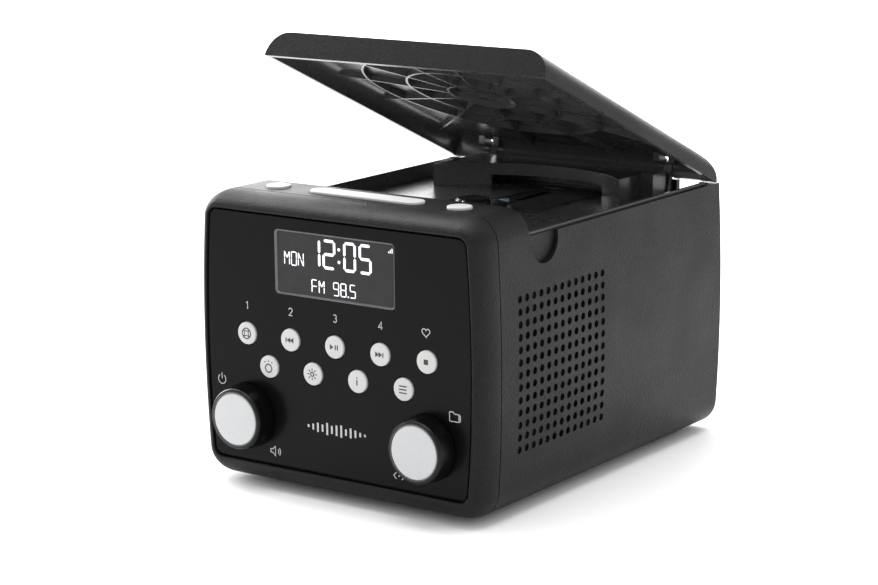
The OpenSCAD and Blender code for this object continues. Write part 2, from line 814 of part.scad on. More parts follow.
module cd_deck() {
    lip_z = split_z + 0.9;
    color("#232324") difference() {
        union() {
            along_deck(floor_z - deck_t, floor_z, 0);
            // Upstand along both sides, inside the lid's edge
            difference() {
                along_deck(floor_z - eps, lip_z, 0);
                along_deck(floor_z - 1, lip_z + 1, 1.5);
                block(-half_w, half_w, deck_front - 1, lid_front + lid_wall + clearance,
                      floor_z, lip_z + 1);
                block(-half_w, half_w, block_back, deck_back + 1, floor_z, lip_z + 1);
            }
            difference() {
                along_z(floor_z - eps, rim_z) rear_block_shape(0);
                along_z(floor_z - deck_t, rim_z - block_wall) rear_block_shape(block_wall);
                // Low arch that the mechanism's cover runs under
                block(arch_left, arch_right, spindle_y, block_back - block_wall, floor_z,
                      arch_z);
            }
            for (s = [-1, 1]) hinge_arm(s);
            for (x = damper_xs, y = damper_ys) {
                bar_z(damper_pin_r, x, y, damper_low, floor_z - deck_t + eps);
            }
        }
        bar_z(hub_hole_r, 0, spindle_y, floor_z - deck_t - 1, floor_z + 1);
        block(cover_left + 2, cover_right - 2, cover_front + 2, cover_back - 2,
              floor_z - deck_t - 1, floor_z + 1);
        for (s = [-1, 1]) {
            bar_x(pin_r + run_fit, eye_y, eye_z, s * hinge_x - eye_half - 1,
                  s * hinge_x + eye_half + 1);
        }
    }
}

// Slice of the cabinet's inside that the deck fills, set in from the wall.
module along_deck(z0, z1, inset) {
    intersection() {
        along_y(deck_front, deck_back) outline(wall + deck_gap + inset);
        block(-half_w, half_w, deck_front, deck_back, z0, z1);
    }
}

module mechanism_cover() {
    corner = 3;
    color("#1f1f20") along_z(floor_z, floor_z + cover_plate_t) difference() {
        union() {
            translate([cover_left, cover_front + corner])
                square([cover_right - cover_left, cover_back - cover_front - corner]);
            translate([cover_left, cover_front])
                square([cover_right - cover_left - corner, 2 * corner]);
            translate([cover_right - corner, cover_front + corner]) circle(r = corner);
        }
        translate([0, spindle_y]) circle(r = hub_hole_r + clearance);
        translate([-slot_half, slot_front]) square([2 * slot_half, slot_back - slot_front]);
    }
}

rail_r = 1.5;
rail_x = 10.5;
rail_z = plate_top - plate_h - 5.4;
motor_r = 12.4;
motor_h = 8;
motor_top = plate_top - plate_h;
sled_half_l = 8;
rib_y = spindle_y + motor_r + 0.3;
chassis_low = motor_top - 12;
rack_x = -15.5;
rack_pitch = 2 * PI * pinion_r / pinion_teeth;
rack_addendum = 0.55;
pinion_x = rack_x - pinion_r - 0.15;
pinion_y = spindle_y + 29;
pinion_z0 = motor_top - 7.4;
pinion_z1 = motor_top - 4;
tooth_share = 0.3;
pinion_spindle_r = 0.8;

module mechanism_chassis() {
    color("#3a3b3d") difference() {
        union() {
            block(chassis_left, chassis_right, chassis_front, chassis_back, motor_top, plate_top);
            for (x = damper_xs, y = damper_ys) {
                bar_z(5.5, x, y, motor_top, plate_top);
            }
            difference() {
                block(chassis_left, chassis_right, chassis_front, chassis_back, chassis_low,
                      motor_top + eps);
                block(chassis_left + chassis_t, chassis_right - chassis_t,
                      chassis_front + chassis_t, chassis_back - chassis_t, chassis_low - 1,
                      motor_top + 1);
            }
            // Cross wall that holds the rails' front ends
            block(-rail_x - 2.4, chassis_right, rib_y, rib_y + chassis_t, chassis_low + 2,
                  motor_top + eps);
            // Shelf for the sled motor
            block(chassis_left, rack_x - 3.2, pinion_y - 8, pinion_y + 8, pinion_z0 - 3,
                  pinion_z0 - 1.8);
        }
        bar_z(3, 0, spindle_y, motor_top - 1, plate_top + 1);
        block(-slot_half, slot_half, slot_front, slot_back, motor_top - 1, plate_top + 1);
        for (x = damper_xs, y = damper_ys) {
            bar_z(damper_pin_r + 1.1, x, y, motor_top - 1, plate_top + 1);
        }
        for (s = [-1, 1]) {
            bar_y(rail_r + seat_fit, s * rail_x, rail_z, rib_y - 1, chassis_back + 1);
        }
        bar_z(1.2, pinion_x, pinion_y, pinion_z0 - 4, pinion_z0);
    }
}

module rubber_dampers() {
    color("#5b3f34") for (x = damper_xs, y = damper_ys) {
        difference() {
            union() {
                bar_z(damper_pin_r + 1, x, y, damper_low, floor_z - deck_t);
                bar_z(4, x, y, plate_top, floor_z - deck_t);
                bar_z(4, x, y, damper_low, motor_top);
            }
            bar_z(damper_pin_r + 0.1, x, y, damper_low - 1, floor_z);
        }
    }
}

spindle_r = 1;

module spindle_motor() {
    color("#a9abad") difference() {
        union() {
            bar_z(motor_r, 0, spindle_y, motor_top - motor_h, motor_top);
            bar_z(2.9, 0, spindle_y, motor_top - eps, plate_top);
        }
        bar_z(spindle_r + run_fit, 0, spindle_y, motor_top - motor_h + 1, plate_top + 1);
    }
}

// Turntable with the spindle pressed in: a flat seat for the disc, and a hub that centres it.
ball_r = 1.3;
module turntable() {
    color("#c2c3c4") placed(0, spindle_y) difference() {
        rotate_extrude() polygon([
            [0, motor_top - motor_h + 2], [spindle_r, motor_top - motor_h + 2],
            [spindle_r, plate_top + 0.6], [4, plate_top + 0.6], [4, seat_z - 1],
            [seat_r, seat_z - 1], [seat_r, seat_z], [hub_r, seat_z],
            [hub_r, seat_z + hub_h - 0.9], [hub_r - 0.9, seat_z + hub_h], [0, seat_z + hub_h]]);
        for (i = [0:2]) rotate([0, 0, 120 * i + 30])
            translate([hub_r - ball_r, 0, seat_z + hub_h / 2]) sphere(r = ball_r + 0.05, $fn = 24);
    }
}

module clamp_balls() {
    color("#e8e8ea") placed(0, spindle_y) for (i = [0:2]) rotate([0, 0, 120 * i + 30])
        translate([hub_r - ball_r, 0, seat_z + hub_h / 2]) sphere(r = ball_r, $fn = 24);
}

lens_y = spindle_y + sled_home;
lens_r = 2.6;
lens_top = floor_z + cover_plate_t + 1.1;

// Straight-sided rack teeth, as many as the travel needs.
module laser_sled() {
    rack_back = pinion_y + rack_pitch;
    rack_front = pinion_y - sled_travel - rack_pitch;
    color("#2f3133") difference() {
        union() {
            block(rack_x + 1.5, 13, lens_y - sled_half_l, lens_y + sled_half_l, rail_z - 3,
                  motor_top - clearance);
            block(-slot_half + 0.8, slot_half - 0.8, lens_y - 4.5, lens_y + 4.5,
                  motor_top - 1, lens_top - 1);
            block(rack_x + 0.6, rack_x + 2.1, rack_front, rack_back, pinion_z0, pinion_z1);
            for (k = [ceil((rack_front - pinion_y) / rack_pitch):0]) {
                along_z(pinion_z0, pinion_z1) polygon([
                    for (c = [[1, 1.45], [0.6, 1.45], [-rack_addendum, 0.7],
                              [-rack_addendum, -0.7], [0.6, -1.45], [1, -1.45]])
                        [rack_x + c[0], pinion_y + k * rack_pitch
                            + c[1] * tooth_share * rack_pitch / 2]]);
            }
        }
        for (s = [-1, 1]) {
            bar_y(rail_r + run_fit, s * rail_x, rail_z, lens_y - 20, lens_y + 20);
        }
        bar_z(lens_r + seat_fit, 0, lens_y, lens_top - 2.4, lens_top);
    }
}

module laser_lens() {
    color("#8fb4c8") bar_z(lens_r, 0, lens_y, lens_top - 2.4, lens_top);
}

module sled_rails() {
    color("#cfd1d3") for (s = [-1, 1]) {
        bar_y(rail_r, s * rail_x, rail_z, rib_y, chassis_back);
    }
}

module sled_pinion() {
    core_r = pinion_r - 0.75;
    tip_r = pinion_r + rack_addendum;
    half_tooth = tooth_share * rack_pitch / 2;
    color("#d8d6cf") {
        placed(pinion_x, pinion_y, pinion_z0) {
            cylinder(r = core_r, h = pinion_z1 - pinion_z0);
            for (k = [0:pinion_teeth - 1]) rotate(360 * (k + 0.5) / pinion_teeth)
                linear_extrude(pinion_z1 - pinion_z0) polygon([
                    [core_r - 1, 1.4 * half_tooth], [tip_r, 0.6 * half_tooth],
                    [tip_r, -0.6 * half_tooth], [core_r - 1, -1.4 * half_tooth]]);
        }
        bar_z(pinion_spindle_r, pinion_x, pinion_y, pinion_z0 - 9, pinion_z1 + 0.6);
    }
}

module sled_motor() {
    color("#9c9ea1") difference() {
        bar_z(6.4, pinion_x, pinion_y, pinion_z0 - 13, pinion_z0 - 3);
        bar_z(pinion_spindle_r + run_fit, pinion_x, pinion_y, pinion_z0 - 10, pinion_z0);
    }
}

// ---------------------------------------------------------------- speakers

flange_t = 2;
cone_t = 0.5;
surround_r = speaker_r - 4.5;
magnet_r = 17;
magnet_h = 9;

// Puts a shape turned about +Z onto a side, facing outwards.
module on_side(side) {
    placed(side * speaker_x, grille_y, grille_zt) rotate([0, side * 90, 0]) children();
}

module speaker_frame(side) {
    depth = speaker_d - magnet_h;
    color("#3f4143") on_side(side) {
        rotate_extrude() polygon([
            [surround_r, 0], [speaker_r, 0], [speaker_r, -flange_t],
            [surround_r + 0.6, -flange_t], [magnet_r - 1, -depth], [0, -depth],
            [0, 1.4 - depth], [magnet_r - 2.4, 1.4 - depth], [surround_r, -flange_t / 2]]);
        translate([0, 0, -speaker_d]) cylinder(r = magnet_r, h = magnet_h + eps);
    }
}

module speaker_cone(side) {
    rim = surround_r - clearance;
    depth = speaker_d - magnet_h - 1.8;
    color("#26282a") on_side(side) rotate_extrude() polygon([
        [0, -5], [7, -7.6], [rim - 3, -1], [rim, -0.4], [rim, -0.4 - cone_t],
        [rim - 2.6, -1.6], [8, -8.6], [8, -depth], [6.6, -depth], [6.6, -8.2], [0, -5.6]]);
}

module left_speaker_frame() { speaker_frame(-1); }
module right_speaker_frame() { speaker_frame(1); }
module left_speaker_cone() { speaker_cone(-1); }
module right_speaker_cone() { speaker_cone(1); }

// ---------------------------------------------------------------- electronics and sockets

module main_board() {
    color("#1d5b34") difference() {
        block(-board_half, board_half, board_front, board_back, board_z, board_z + board_t);
        for (x = post_xs, y = post_ys) {
            bar_z(screw_r + 0.2, x, y, board_z - 1, board_z + board_t + 1);
        }
    }
}

chip_half = 12;
chip_front = board_front + 30;
sink_left = -34;
sink_w = 14;
sink_front = board_front + 20;
sink_d = 10;
fin_pitch = 3;
fin_t = 1.2;
plug_left = 18;
plug_w = 16;
capacitor_r = 4;
capacitor_x = 22;
capacitor_pitch = [10, 11];

// Receiver chip, amplifier under its finned heat sink, plug and four capacitors
module board_parts() {
    z = board_z + board_t;
    color("#2a2a2c") {
        block(-chip_half, chip_half, chip_front, chip_front + 2 * chip_half, z, z + 2);
        block(sink_left, sink_left + sink_w, sink_front, sink_front + sink_d, z, z + 7);
        for (i = [0:4]) {
            block(sink_left + i * fin_pitch, sink_left + i * fin_pitch + fin_t, sink_front,
                  sink_front + sink_d, z + 7 - eps, z + 14);
        }
        block(plug_left, plug_left + plug_w, board_front + 12, board_front + 18, z, z + 5);
        for (i = [0, 1], j = [0, 1]) {
            bar_z(capacitor_r, capacitor_x + i * capacitor_pitch[0],
                  chip_front + 2 + j * capacitor_pitch[1], z, z + 12);
        }
    }
}

module power_inlet() {
    z = board_z + board_t;
    color("#18181a") difference() {
        block(inlet_x - 4.6, inlet_x + 4.6, rear_y - 14, rear_y - 0.4, z, inlet_z + 5);
        bar_y(3.2, inlet_x, inlet_z, rear_y - 10, rear_y);
    }
    color("#b9bbbd") bar_y(1, inlet_x, inlet_z, rear_y - 10.5, rear_y - 1.4);
}

module headphone_socket() {
    z = board_z + board_t;
    color("#1a1a1c") difference() {
        union() {
            block(jack_x - 5, jack_x + 5, rear_y - 16, cover_y - clearance, z, jack_z + 5);
            bar_y(4, jack_x, jack_z, cover_y - 1, rear_y);
        }
        bar_y(jack_r, jack_x, jack_z, rear_y - 14, rear_y + 1);
    }
}

bush_flange_r = 4.6;
fork_half = 2.4;
fork_t = 1.6;
tilt_pin_r = 1.1;
root_r = 2.5;
tip_l = 5;
inner_r = aerial_r - 0.5;

// Swivel boss through the rear cover, with the fork that holds the rod.
module aerial_elbow() {
    color("#3c3d3f") {
        bar_y(aerial_bush_r, aerial_x, aerial_z, cover_y - 2.2, rear_y + 0.4);
        bar_y(bush_flange_r, aerial_x, aerial_z, cover_y - 2.2, cover_y - clearance);
        bar_y(fork_half + fork_t + 0.6, aerial_x, aerial_z, rear_y + clearance, rear_y + 2.8);
        for (s = [-1, 1]) {
            block(aerial_x - root_r, aerial_x + root_r, rear_y + 2.8 - eps,
                  aerial_y + root_r, s > 0 ? aerial_z + fork_half : aerial_z - fork_half - fork_t,
                  s > 0 ? aerial_z + fork_half + fork_t : aerial_z - fork_half);
        }
        bar_z(tilt_pin_r, aerial_x, aerial_y, aerial_z - fork_half - eps,
              aerial_z + fork_half + eps);
    }
}

module aerial_outer_tube() {
    color("#c8cacc") difference() {
        union() {
            bar_x(aerial_r, aerial_y, aerial_z, aerial_x - aerial_l, aerial_x - root_r - 1);
            intersection() {
                bar_x(aerial_r, aerial_y, aerial_z, aerial_x - root_r - 2, aerial_x + root_r);
                union() {
                    block(aerial_x - root_r - 2, aerial_x, rear_y, aerial_back + 1,
                          aerial_z - 2, aerial_z + 2);
                    bar_z(root_r, aerial_x, aerial_y, aerial_z - 2, aerial_z + 2);
                }
            }
        }
        bar_x(inner_r + run_fit, aerial_y, aerial_z, aerial_x - aerial_l - 1,
              aerial_x - root_r - 2);
        bar_z(tilt_pin_r + run_fit, aerial_x, aerial_y, aerial_z - 4, aerial_z + 4);
    }
}

module aerial_inner_tube() {
    color("#d8dadc") {
        bar_x(inner_r, aerial_y, aerial_z, aerial_x - aerial_l - 0.6, aerial_x - root_r - 4);
        bar_x(aerial_tip_r, aerial_y, aerial_z, aerial_x - aerial_l - 0.5 - tip_l,
              aerial_x - aerial_l - 0.5);
    }
}

// ---------------------------------------------------------------- lid

lid_low = split_z + clearance;
lid_front = strip_y + clearance;
lid_turn_r = lid_h;
ceiling_z = top_z - lid_wall;
rib_low = ceiling_z - rib_h;
rib_rings = [15, 32.9, 52];
pin_half = eye_half + eye_gap + 3;

// Side view of the lid, its back edge rounded over.
module lid_side(inset) {
    translate([lid_front + inset, 0])
        square([rear_y - lid_turn_r - lid_front - inset, top_z - inset]);
    translate([rear_y - lid_turn_r - 1, 0])
        square([lid_turn_r + 1 - inset, split_z]);
    translate([rear_y - lid_turn_r, top_z - lid_turn_r]) circle(r = lid_turn_r - inset, $fn = 96);
}

module lid_body(inset, low) {
    intersection() {
        along_y(lid_front + inset, rear_y - inset) outline(inset);
        along_x(-half_w, half_w) lid_side(inset);
        block(-half_w, half_w, lid_front, rear_y, low, top_z + 1);
    }
}

// Rings round the spindle and spokes between them stiffen the top.
module lid_ribs() {
    intersection() {
        along_z(rib_low, ceiling_z + eps) {
            for (r = rib_rings) translate([0, spindle_y]) difference() {
                circle(r = r + rib_t / 2, $fn = 96);
                circle(r = r - rib_t / 2, $fn = 96);
            }
            for (i = [0:11]) translate([0, spindle_y]) rotate(30 * i + 15)
                translate([rib_rings[0], -rib_t / 2]) square([rear_y / 2, rib_t]);
        }
        along_y(lid_front + lid_wall - eps, rear_y - lid_turn_r) outline(lid_wall - eps);
    }
}

// The lid is drawn shut and turned open about its hinge.
module lid_shell() {
    color("#2d2d2e") opened() difference() {
        union() {
            difference() {
                lid_body(0, lid_low);
                lid_body(lid_wall, lid_low - 1);
            }
            lid_ribs();
            for (s = [-1, 1], t = [-1, 1]) {
                x = s * hinge_x + t * (eye_half + eye_gap + 1.5);
                bar_x(eye_r, eye_y, eye_z, x - 1.5, x + 1.5);
                along_x(x - 1.5, x + 1.5) polygon([
                    [eye_y - eye_r, eye_z], [eye_y, eye_z + eye_r], [eye_y - 7, ceiling_z + 0.4],
                    [eye_y - 9, ceiling_z + 0.4], [eye_y - 7, eye_z]]);
            }
        }
        for (s = [-1, 1]) {
            block(s * hinge_x - eye_half - eye_gap, s * hinge_x + eye_half + eye_gap,
                  eye_y - 8, rear_y + 5, split_z - 1, eye_z + eye_r + 0.5);
            bar_x(pin_r + seat_fit, eye_y, eye_z, s * hinge_x - pin_half - 1,
                  s * hinge_x + pin_half + 1);
        }
    }
}

module hinge_pins() {
    color("#c6c8ca") for (s = [-1, 1]) {
        bar_x(pin_r, eye_y, eye_z, s * hinge_x - pin_half, s * hinge_x + pin_half);
    }
}

// Turns what is drawn shut through the lid's open angle about the hinge.
module opened() {
    placed(0, eye_y, eye_z) rotate([-lid_open, 0, 0])
        translate([0, mid_y - eye_y, -eye_z]) children();
}

cabinet_shell();
rear_cover();
front_bezel();
fascia_panel();
display_window();
lcd_module();
front_board();
tact_switches();
ball_key();
back_key();
play_key();
forward_key();
stop_key();
alarm_key();
dimmer_key();
info_key();
menu_key();
left_knob();
right_knob();
left_knob_cap();
right_knob_cap();
left_encoder();
right_encoder();
left_push_plate();
right_push_plate();
left_shaft();
right_shaft();
top_strip();
snooze_bar();
left_top_key();
right_top_key();
top_board();
cd_deck();
mechanism_cover();
mechanism_chassis();
rubber_dampers();
spindle_motor();
turntable();
clamp_balls();
laser_sled();
laser_lens();
sled_rails();
sled_pinion();
sled_motor();
left_speaker_frame();
right_speaker_frame();
left_speaker_cone();
right_speaker_cone();
main_board();
board_parts();
power_inlet();
headphone_socket();
lid_shell();
hinge_pins();
rubber_feet();
case_screws();
aerial_elbow();
aerial_outer_tube();
aerial_inner_tube();
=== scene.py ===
"""A tabletop radio with a disc player under its lid, dressed for a studio render.

The sections follow the radio as it is put together: cabinet, electronics, speakers, front,
keys, top strip, disc player, lid, aerial, and last the studio. Lengths are millimetres in
the sections and become metres when a mesh is made.
"""

import json
import math

import bmesh
import bpy
import numpy as np
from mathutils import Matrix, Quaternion, Vector

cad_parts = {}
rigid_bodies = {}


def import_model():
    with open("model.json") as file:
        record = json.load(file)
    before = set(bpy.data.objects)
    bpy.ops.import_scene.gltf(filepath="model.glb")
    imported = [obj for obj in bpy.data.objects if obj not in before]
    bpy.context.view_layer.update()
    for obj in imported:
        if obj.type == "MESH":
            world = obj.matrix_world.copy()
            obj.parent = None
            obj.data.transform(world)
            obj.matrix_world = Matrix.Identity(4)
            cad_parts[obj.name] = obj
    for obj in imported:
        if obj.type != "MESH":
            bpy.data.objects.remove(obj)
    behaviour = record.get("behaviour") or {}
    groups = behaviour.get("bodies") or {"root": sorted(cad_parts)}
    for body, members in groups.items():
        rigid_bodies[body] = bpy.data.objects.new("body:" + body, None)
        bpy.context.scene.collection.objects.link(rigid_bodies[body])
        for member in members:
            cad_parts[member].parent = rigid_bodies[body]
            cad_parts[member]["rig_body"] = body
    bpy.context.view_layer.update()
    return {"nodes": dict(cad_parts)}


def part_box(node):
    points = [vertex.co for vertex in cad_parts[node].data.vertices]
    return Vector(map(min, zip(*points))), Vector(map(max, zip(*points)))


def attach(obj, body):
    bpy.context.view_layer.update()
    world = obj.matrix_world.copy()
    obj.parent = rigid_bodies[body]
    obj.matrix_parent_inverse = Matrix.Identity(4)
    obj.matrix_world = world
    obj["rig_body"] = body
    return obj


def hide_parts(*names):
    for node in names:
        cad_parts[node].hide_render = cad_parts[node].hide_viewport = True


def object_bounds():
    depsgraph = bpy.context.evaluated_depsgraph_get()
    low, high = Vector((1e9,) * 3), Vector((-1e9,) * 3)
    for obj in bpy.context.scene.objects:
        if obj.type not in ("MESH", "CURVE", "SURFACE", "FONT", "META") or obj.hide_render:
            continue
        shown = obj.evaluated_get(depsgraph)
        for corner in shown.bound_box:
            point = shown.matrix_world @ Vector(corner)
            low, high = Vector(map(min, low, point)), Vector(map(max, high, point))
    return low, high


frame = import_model()

# ---------------------------------------------------------------- cabinet
# The cabinet is a wrap-round shell of ABS, injection moulded in a tool that was etched to a
# fine sand grain. Its bowed sides carry the drilled-looking grilles; the rear cover of the
# same plastic slides into the back and is held by four screws. The feet are pressed-in rubber.

MM = 0.001


def linear(colour):
    """sRGB hex to linear: a channel c becomes c / 12.92 below 0.04045, and above it the
    2.4th power of (c + 0.055) / 1.055."""
    channels = [int(colour[i:i + 2], 16) / 255 for i in (1, 3, 5)]
    return [c / 12.92 if c < 0.04045 else ((c + 0.055) / 1.055) ** 2.4
            for c in channels] + [1]


def add(tree, kind, settings=None, links=None):
    """Adds one shader node, sets its sockets or properties, and links outputs into it."""
    node = tree.nodes.new(kind)
    for key, value in (settings or {}).items():
        if isinstance(key, int) or key in node.inputs:
            node.inputs[key].default_value = value
        else:
            setattr(node, key, value)
    for key, output in (links or {}).items():
        tree.links.new(output, node.inputs[key])
    return node


def started(name, sockets):
    """A new material: one Principled shader with these constant sockets. Returns the
    material, its tree, the shader and the Object coordinates."""
    material = bpy.data.materials.new(name)
    material.use_nodes = True
    tree = material.node_tree
    tree.nodes.clear()
    shader = add(tree, "ShaderNodeBsdfPrincipled", sockets)
    add(tree, "ShaderNodeOutputMaterial", links={"Surface": shader.outputs[0]})
    return material, tree, shader, add(tree, "ShaderNodeTexCoord").outputs["Object"]


def moulded(name, dark, light, roughness, grain, depth, sockets=None):
    """A moulded or painted finish. A noise of grain mm moves the colour between two close
    tones and lifts the surface by depth mm; a slow noise forty grains wide spreads the
    roughness, as flow marks and handling do."""
    material, tree, shader, place = started(name, sockets or {})
    fine = add(tree, "ShaderNodeTexNoise",
               {"Scale": 1 / (grain * MM), "Detail": 2.0, "Roughness": 0.6},
               {"Vector": place}).outputs["Fac"]
    slow = add(tree, "ShaderNodeTexNoise",
               {"Scale": 1 / (40 * grain * MM), "Detail": 3.0}, {"Vector": place}).outputs["Fac"]
    tone = add(tree, "ShaderNodeMapRange",
               {"From Min": 0.3, "From Max": 0.7}, {"Value": fine}).outputs["Result"]
    colour = add(tree, "ShaderNodeMix",
                 {"data_type": "RGBA", 6: linear(dark), 7: linear(light)}, {0: tone})
    tree.links.new(colour.outputs[2], shader.inputs["Base Color"])
    spread = add(tree, "ShaderNodeMapRange",
                 {"From Min": 0.3, "From Max": 0.7, "To Min": roughness[0],
                  "To Max": roughness[1]}, {"Value": slow})
    tree.links.new(spread.outputs["Result"], shader.inputs["Roughness"])
    if depth:
        lift = add(tree, "ShaderNodeBump", {"Strength": 1.0, "Distance": depth * MM},
                   {"Height": fine})
        tree.links.new(lift.outputs["Normal"], shader.inputs["Normal"])
    return material


def kept(piece, body, *nodes):
    """Lets a piece ride on its body and stand for its CAD nodes, which it hides."""
    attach(piece, body)
    if nodes:
        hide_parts(*nodes)
    return piece


def dressed(node, material, edge=0.0, turn=28, steps=2):
    """The CAD node's own shape with its loose triangles merged and its flat areas joined;
    edges that turn more than turn degrees are rounded by edge mm."""
    source = frame["nodes"][node]
    mesh = bpy.data.meshes.new(node + "_piece")
    whole = bmesh.new()
    whole.from_mesh(source.data)
    bmesh.ops.remove_doubles(whole, verts=whole.verts, dist=2e-6)
    bmesh.ops.dissolve_limit(whole, angle_limit=math.radians(0.3), verts=whole.verts,
                             edges=whole.edges)
    whole.to_mesh(mesh)
    whole.free()
    for spare in [a.name for a in mesh.attributes if a.name == "custom_normal"]:
        mesh.attributes.remove(mesh.attributes[spare])
    mesh.materials.clear()
    mesh.materials.append(material)
    mesh.polygons.foreach_set("material_index", np.zeros(len(mesh.polygons), np.int32))
    mesh.shade_smooth()
    mesh.set_sharp_from_angle(angle=math.radians(turn))
    piece = bpy.data.objects.new(node + "_piece", mesh)
    bpy.context.scene.collection.objects.link(piece)
    if edge:
        rounding = piece.modifiers.new("rounded_edges", "BEVEL")
        rounding.width = edge * MM
        rounding.segments = steps
        rounding.limit_method = "ANGLE"
        rounding.angle_limit = math.radians(turn + 8)
        rounding.harden_normals = True
    return kept(piece, source["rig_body"], node)


# Etched ABS: near-black, and each sand grain of about 0.35 mm catches a speck of light. The
# grain is drawn at 0.7 mm, because the real one is too fine to show.
sanded_abs = moulded("sand_textured_black_abs", "#070708", "#171718", (0.4, 0.5), 0.7, 0.24,
                     {"Specular IOR Level": 0.16})
dressed("cabinet_shell", sanded_abs)
dressed("rear_cover", sanded_abs, 0.25)

# Nitrile rubber: dull, slightly brown black with a dusty bloom
nitrile = moulded("black_nitrile_rubber", "#0d0c0c", "#161515", (0.78, 0.9), 0.8, 0.02,
                  {"Specular IOR Level": 0.3})
dressed("rubber_feet", nitrile, 0.5)

# Screws of mild steel, blackened: dark grey metal with a faint oily spread of gloss
blacked_steel = moulded("blackened_steel", "#3a3a3d", "#55565a", (0.3, 0.5), 0.3, 0.004,
                        {"Metallic": 1.0})
dressed("case_screws", blacked_steel, 0.12)

# ---------------------------------------------------------------- electronics and speakers
# Four circuit boards of green-lacquered glass epoxy carry chips in black epoxy, a finned
# aluminium heat sink, drum capacitors and tact switches. The sockets are moulded in black
# nylon. Each speaker is a pressed steel basket with its magnet and a black paper cone.


def lacquered_board(name, across):
    """Solder mask over copper: two square waves of different pitch, one along X and one along
    the board's other direction, leave lighter raised tracks about 1 mm apart; a noise breaks
    them up."""
    material, tree, shader, place = started(name, {"Roughness": 0.35, "Coat Weight": 0.4})
    split = add(tree, "ShaderNodeSeparateXYZ", links={"Vector": place})
    tracks = []
    for axis, pitch in (("X", 2.3), (across, 3.1)):
        wave = add(tree, "ShaderNodeMath", {"operation": "PINGPONG", 1: pitch / 2 * MM},
                   {0: split.outputs[axis]})
        tracks.append(add(tree, "ShaderNodeMath", {"operation": "GREATER_THAN",
                                                   1: pitch * 0.32 * MM}, {0: wave.outputs[0]}))
    patches = add(tree, "ShaderNodeTexNoise", {"Scale": 90.0}, {"Vector": place}).outputs["Fac"]
    chosen = add(tree, "ShaderNodeMath", {"operation": "GREATER_THAN", 1: 0.5}, {0: patches})
    mixed = add(tree, "ShaderNodeMix", {"data_type": "FLOAT"},
                {0: chosen.outputs[0], 2: tracks[0].outputs[0], 3: tracks[1].outputs[0]})
    colour = add(tree, "ShaderNodeMix",
                 {"data_type": "RGBA", 6: linear("#0d3d22"), 7: linear("#1c6a3c")},
                 {0: mixed.outputs[0]})
    tree.links.new(colour.outputs[2], shader.inputs["Base Color"])
    lift = add(tree, "ShaderNodeBump", {"Strength": 0.6, "Distance": 0.035 * MM},
               {"Height": mixed.outputs[0]})
    tree.links.new(lift.outputs["Normal"], shader.inputs["Normal"])
    return material


level_board = lacquered_board("green_solder_mask_level", "Y")
upright_board = lacquered_board("green_solder_mask_upright", "Z")
dressed("main_board", level_board, 0.15)
dressed("top_board", level_board, 0.15)
dressed("front_board", upright_board, 0.15)

# Moulding epoxy and nylon: black, slightly grey and fine-pitted
black_epoxy = moulded("black_epoxy_and_nylon", "#141416", "#232326", (0.42, 0.6), 0.4, 0.02)
dressed("board_parts", black_epoxy, 0.2)
dressed("power_inlet", black_epoxy, 0.25)
dressed("headphone_socket", black_epoxy, 0.25)

# Tact switches: nickelled steel can, rolled, with a faint grain
nickelled_steel = moulded("nickelled_steel", "#a6a7a6", "#c3c4c3", (0.22, 0.38), 0.25, 0.003,
                          {"Metallic": 1.0})
dressed("tact_switches", nickelled_steel, 0.2)
for side in ("left", "right"):
    dressed(side + "_encoder", nickelled_steel, 0.2)
    dressed(side + "_speaker_frame", blacked_steel, 0.3)

# Milled brass-cored shafts, and the phosphor-bronze push plates behind them
for side in ("left", "right"):
    dressed(side + "_shaft", nickelled_steel, 0.15)
phosphor_bronze = moulded("phosphor_bronze", "#9c7a4c", "#b8925c", (0.25, 0.4), 0.3, 0.003,
                          {"Metallic": 1.0})
for side in ("left", "right"):
    dressed(side + "_push_plate", phosphor_bronze, 0.1)

# Speaker cone: pressed paper pulp, dyed black; its fibres are about 1 mm long
paper_pulp = moulded("dyed_paper_pulp", "#1b1b1c", "#303030", (0.8, 0.95), 1.1, 0.12)
for side in ("left", "right"):
    dressed(side + "_speaker_cone", paper_pulp)

# ---------------------------------------------------------------- front bezel
# The bezel is a rounded frame of the same etched ABS. Its face rolls forward from the seam in
# a quarter ellipse to a thin lip that stands a little proud of the fascia.


def extent(node):
    """The low and the high corner of a CAD node's box, in mm."""
    return [np.array(corner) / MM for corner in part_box(node)]


bezel_low, bezel_high = extent("front_bezel")
bezel_lip, bezel_seam = bezel_low[1], bezel_high[1]
fascia_face = bezel_lip + 0.6
body_half, body_low, body_high = bezel_high[0], bezel_low[2], bezel_high[2]
side_bow, top_corner, bottom_corner = 800.0, 11.0, 12.0
fascia_half, fascia_bow = body_half - 5.8, 565.0
fascia_low, fascia_high = body_low + 9.6, body_high - 7.1
fascia_corner = 3.5


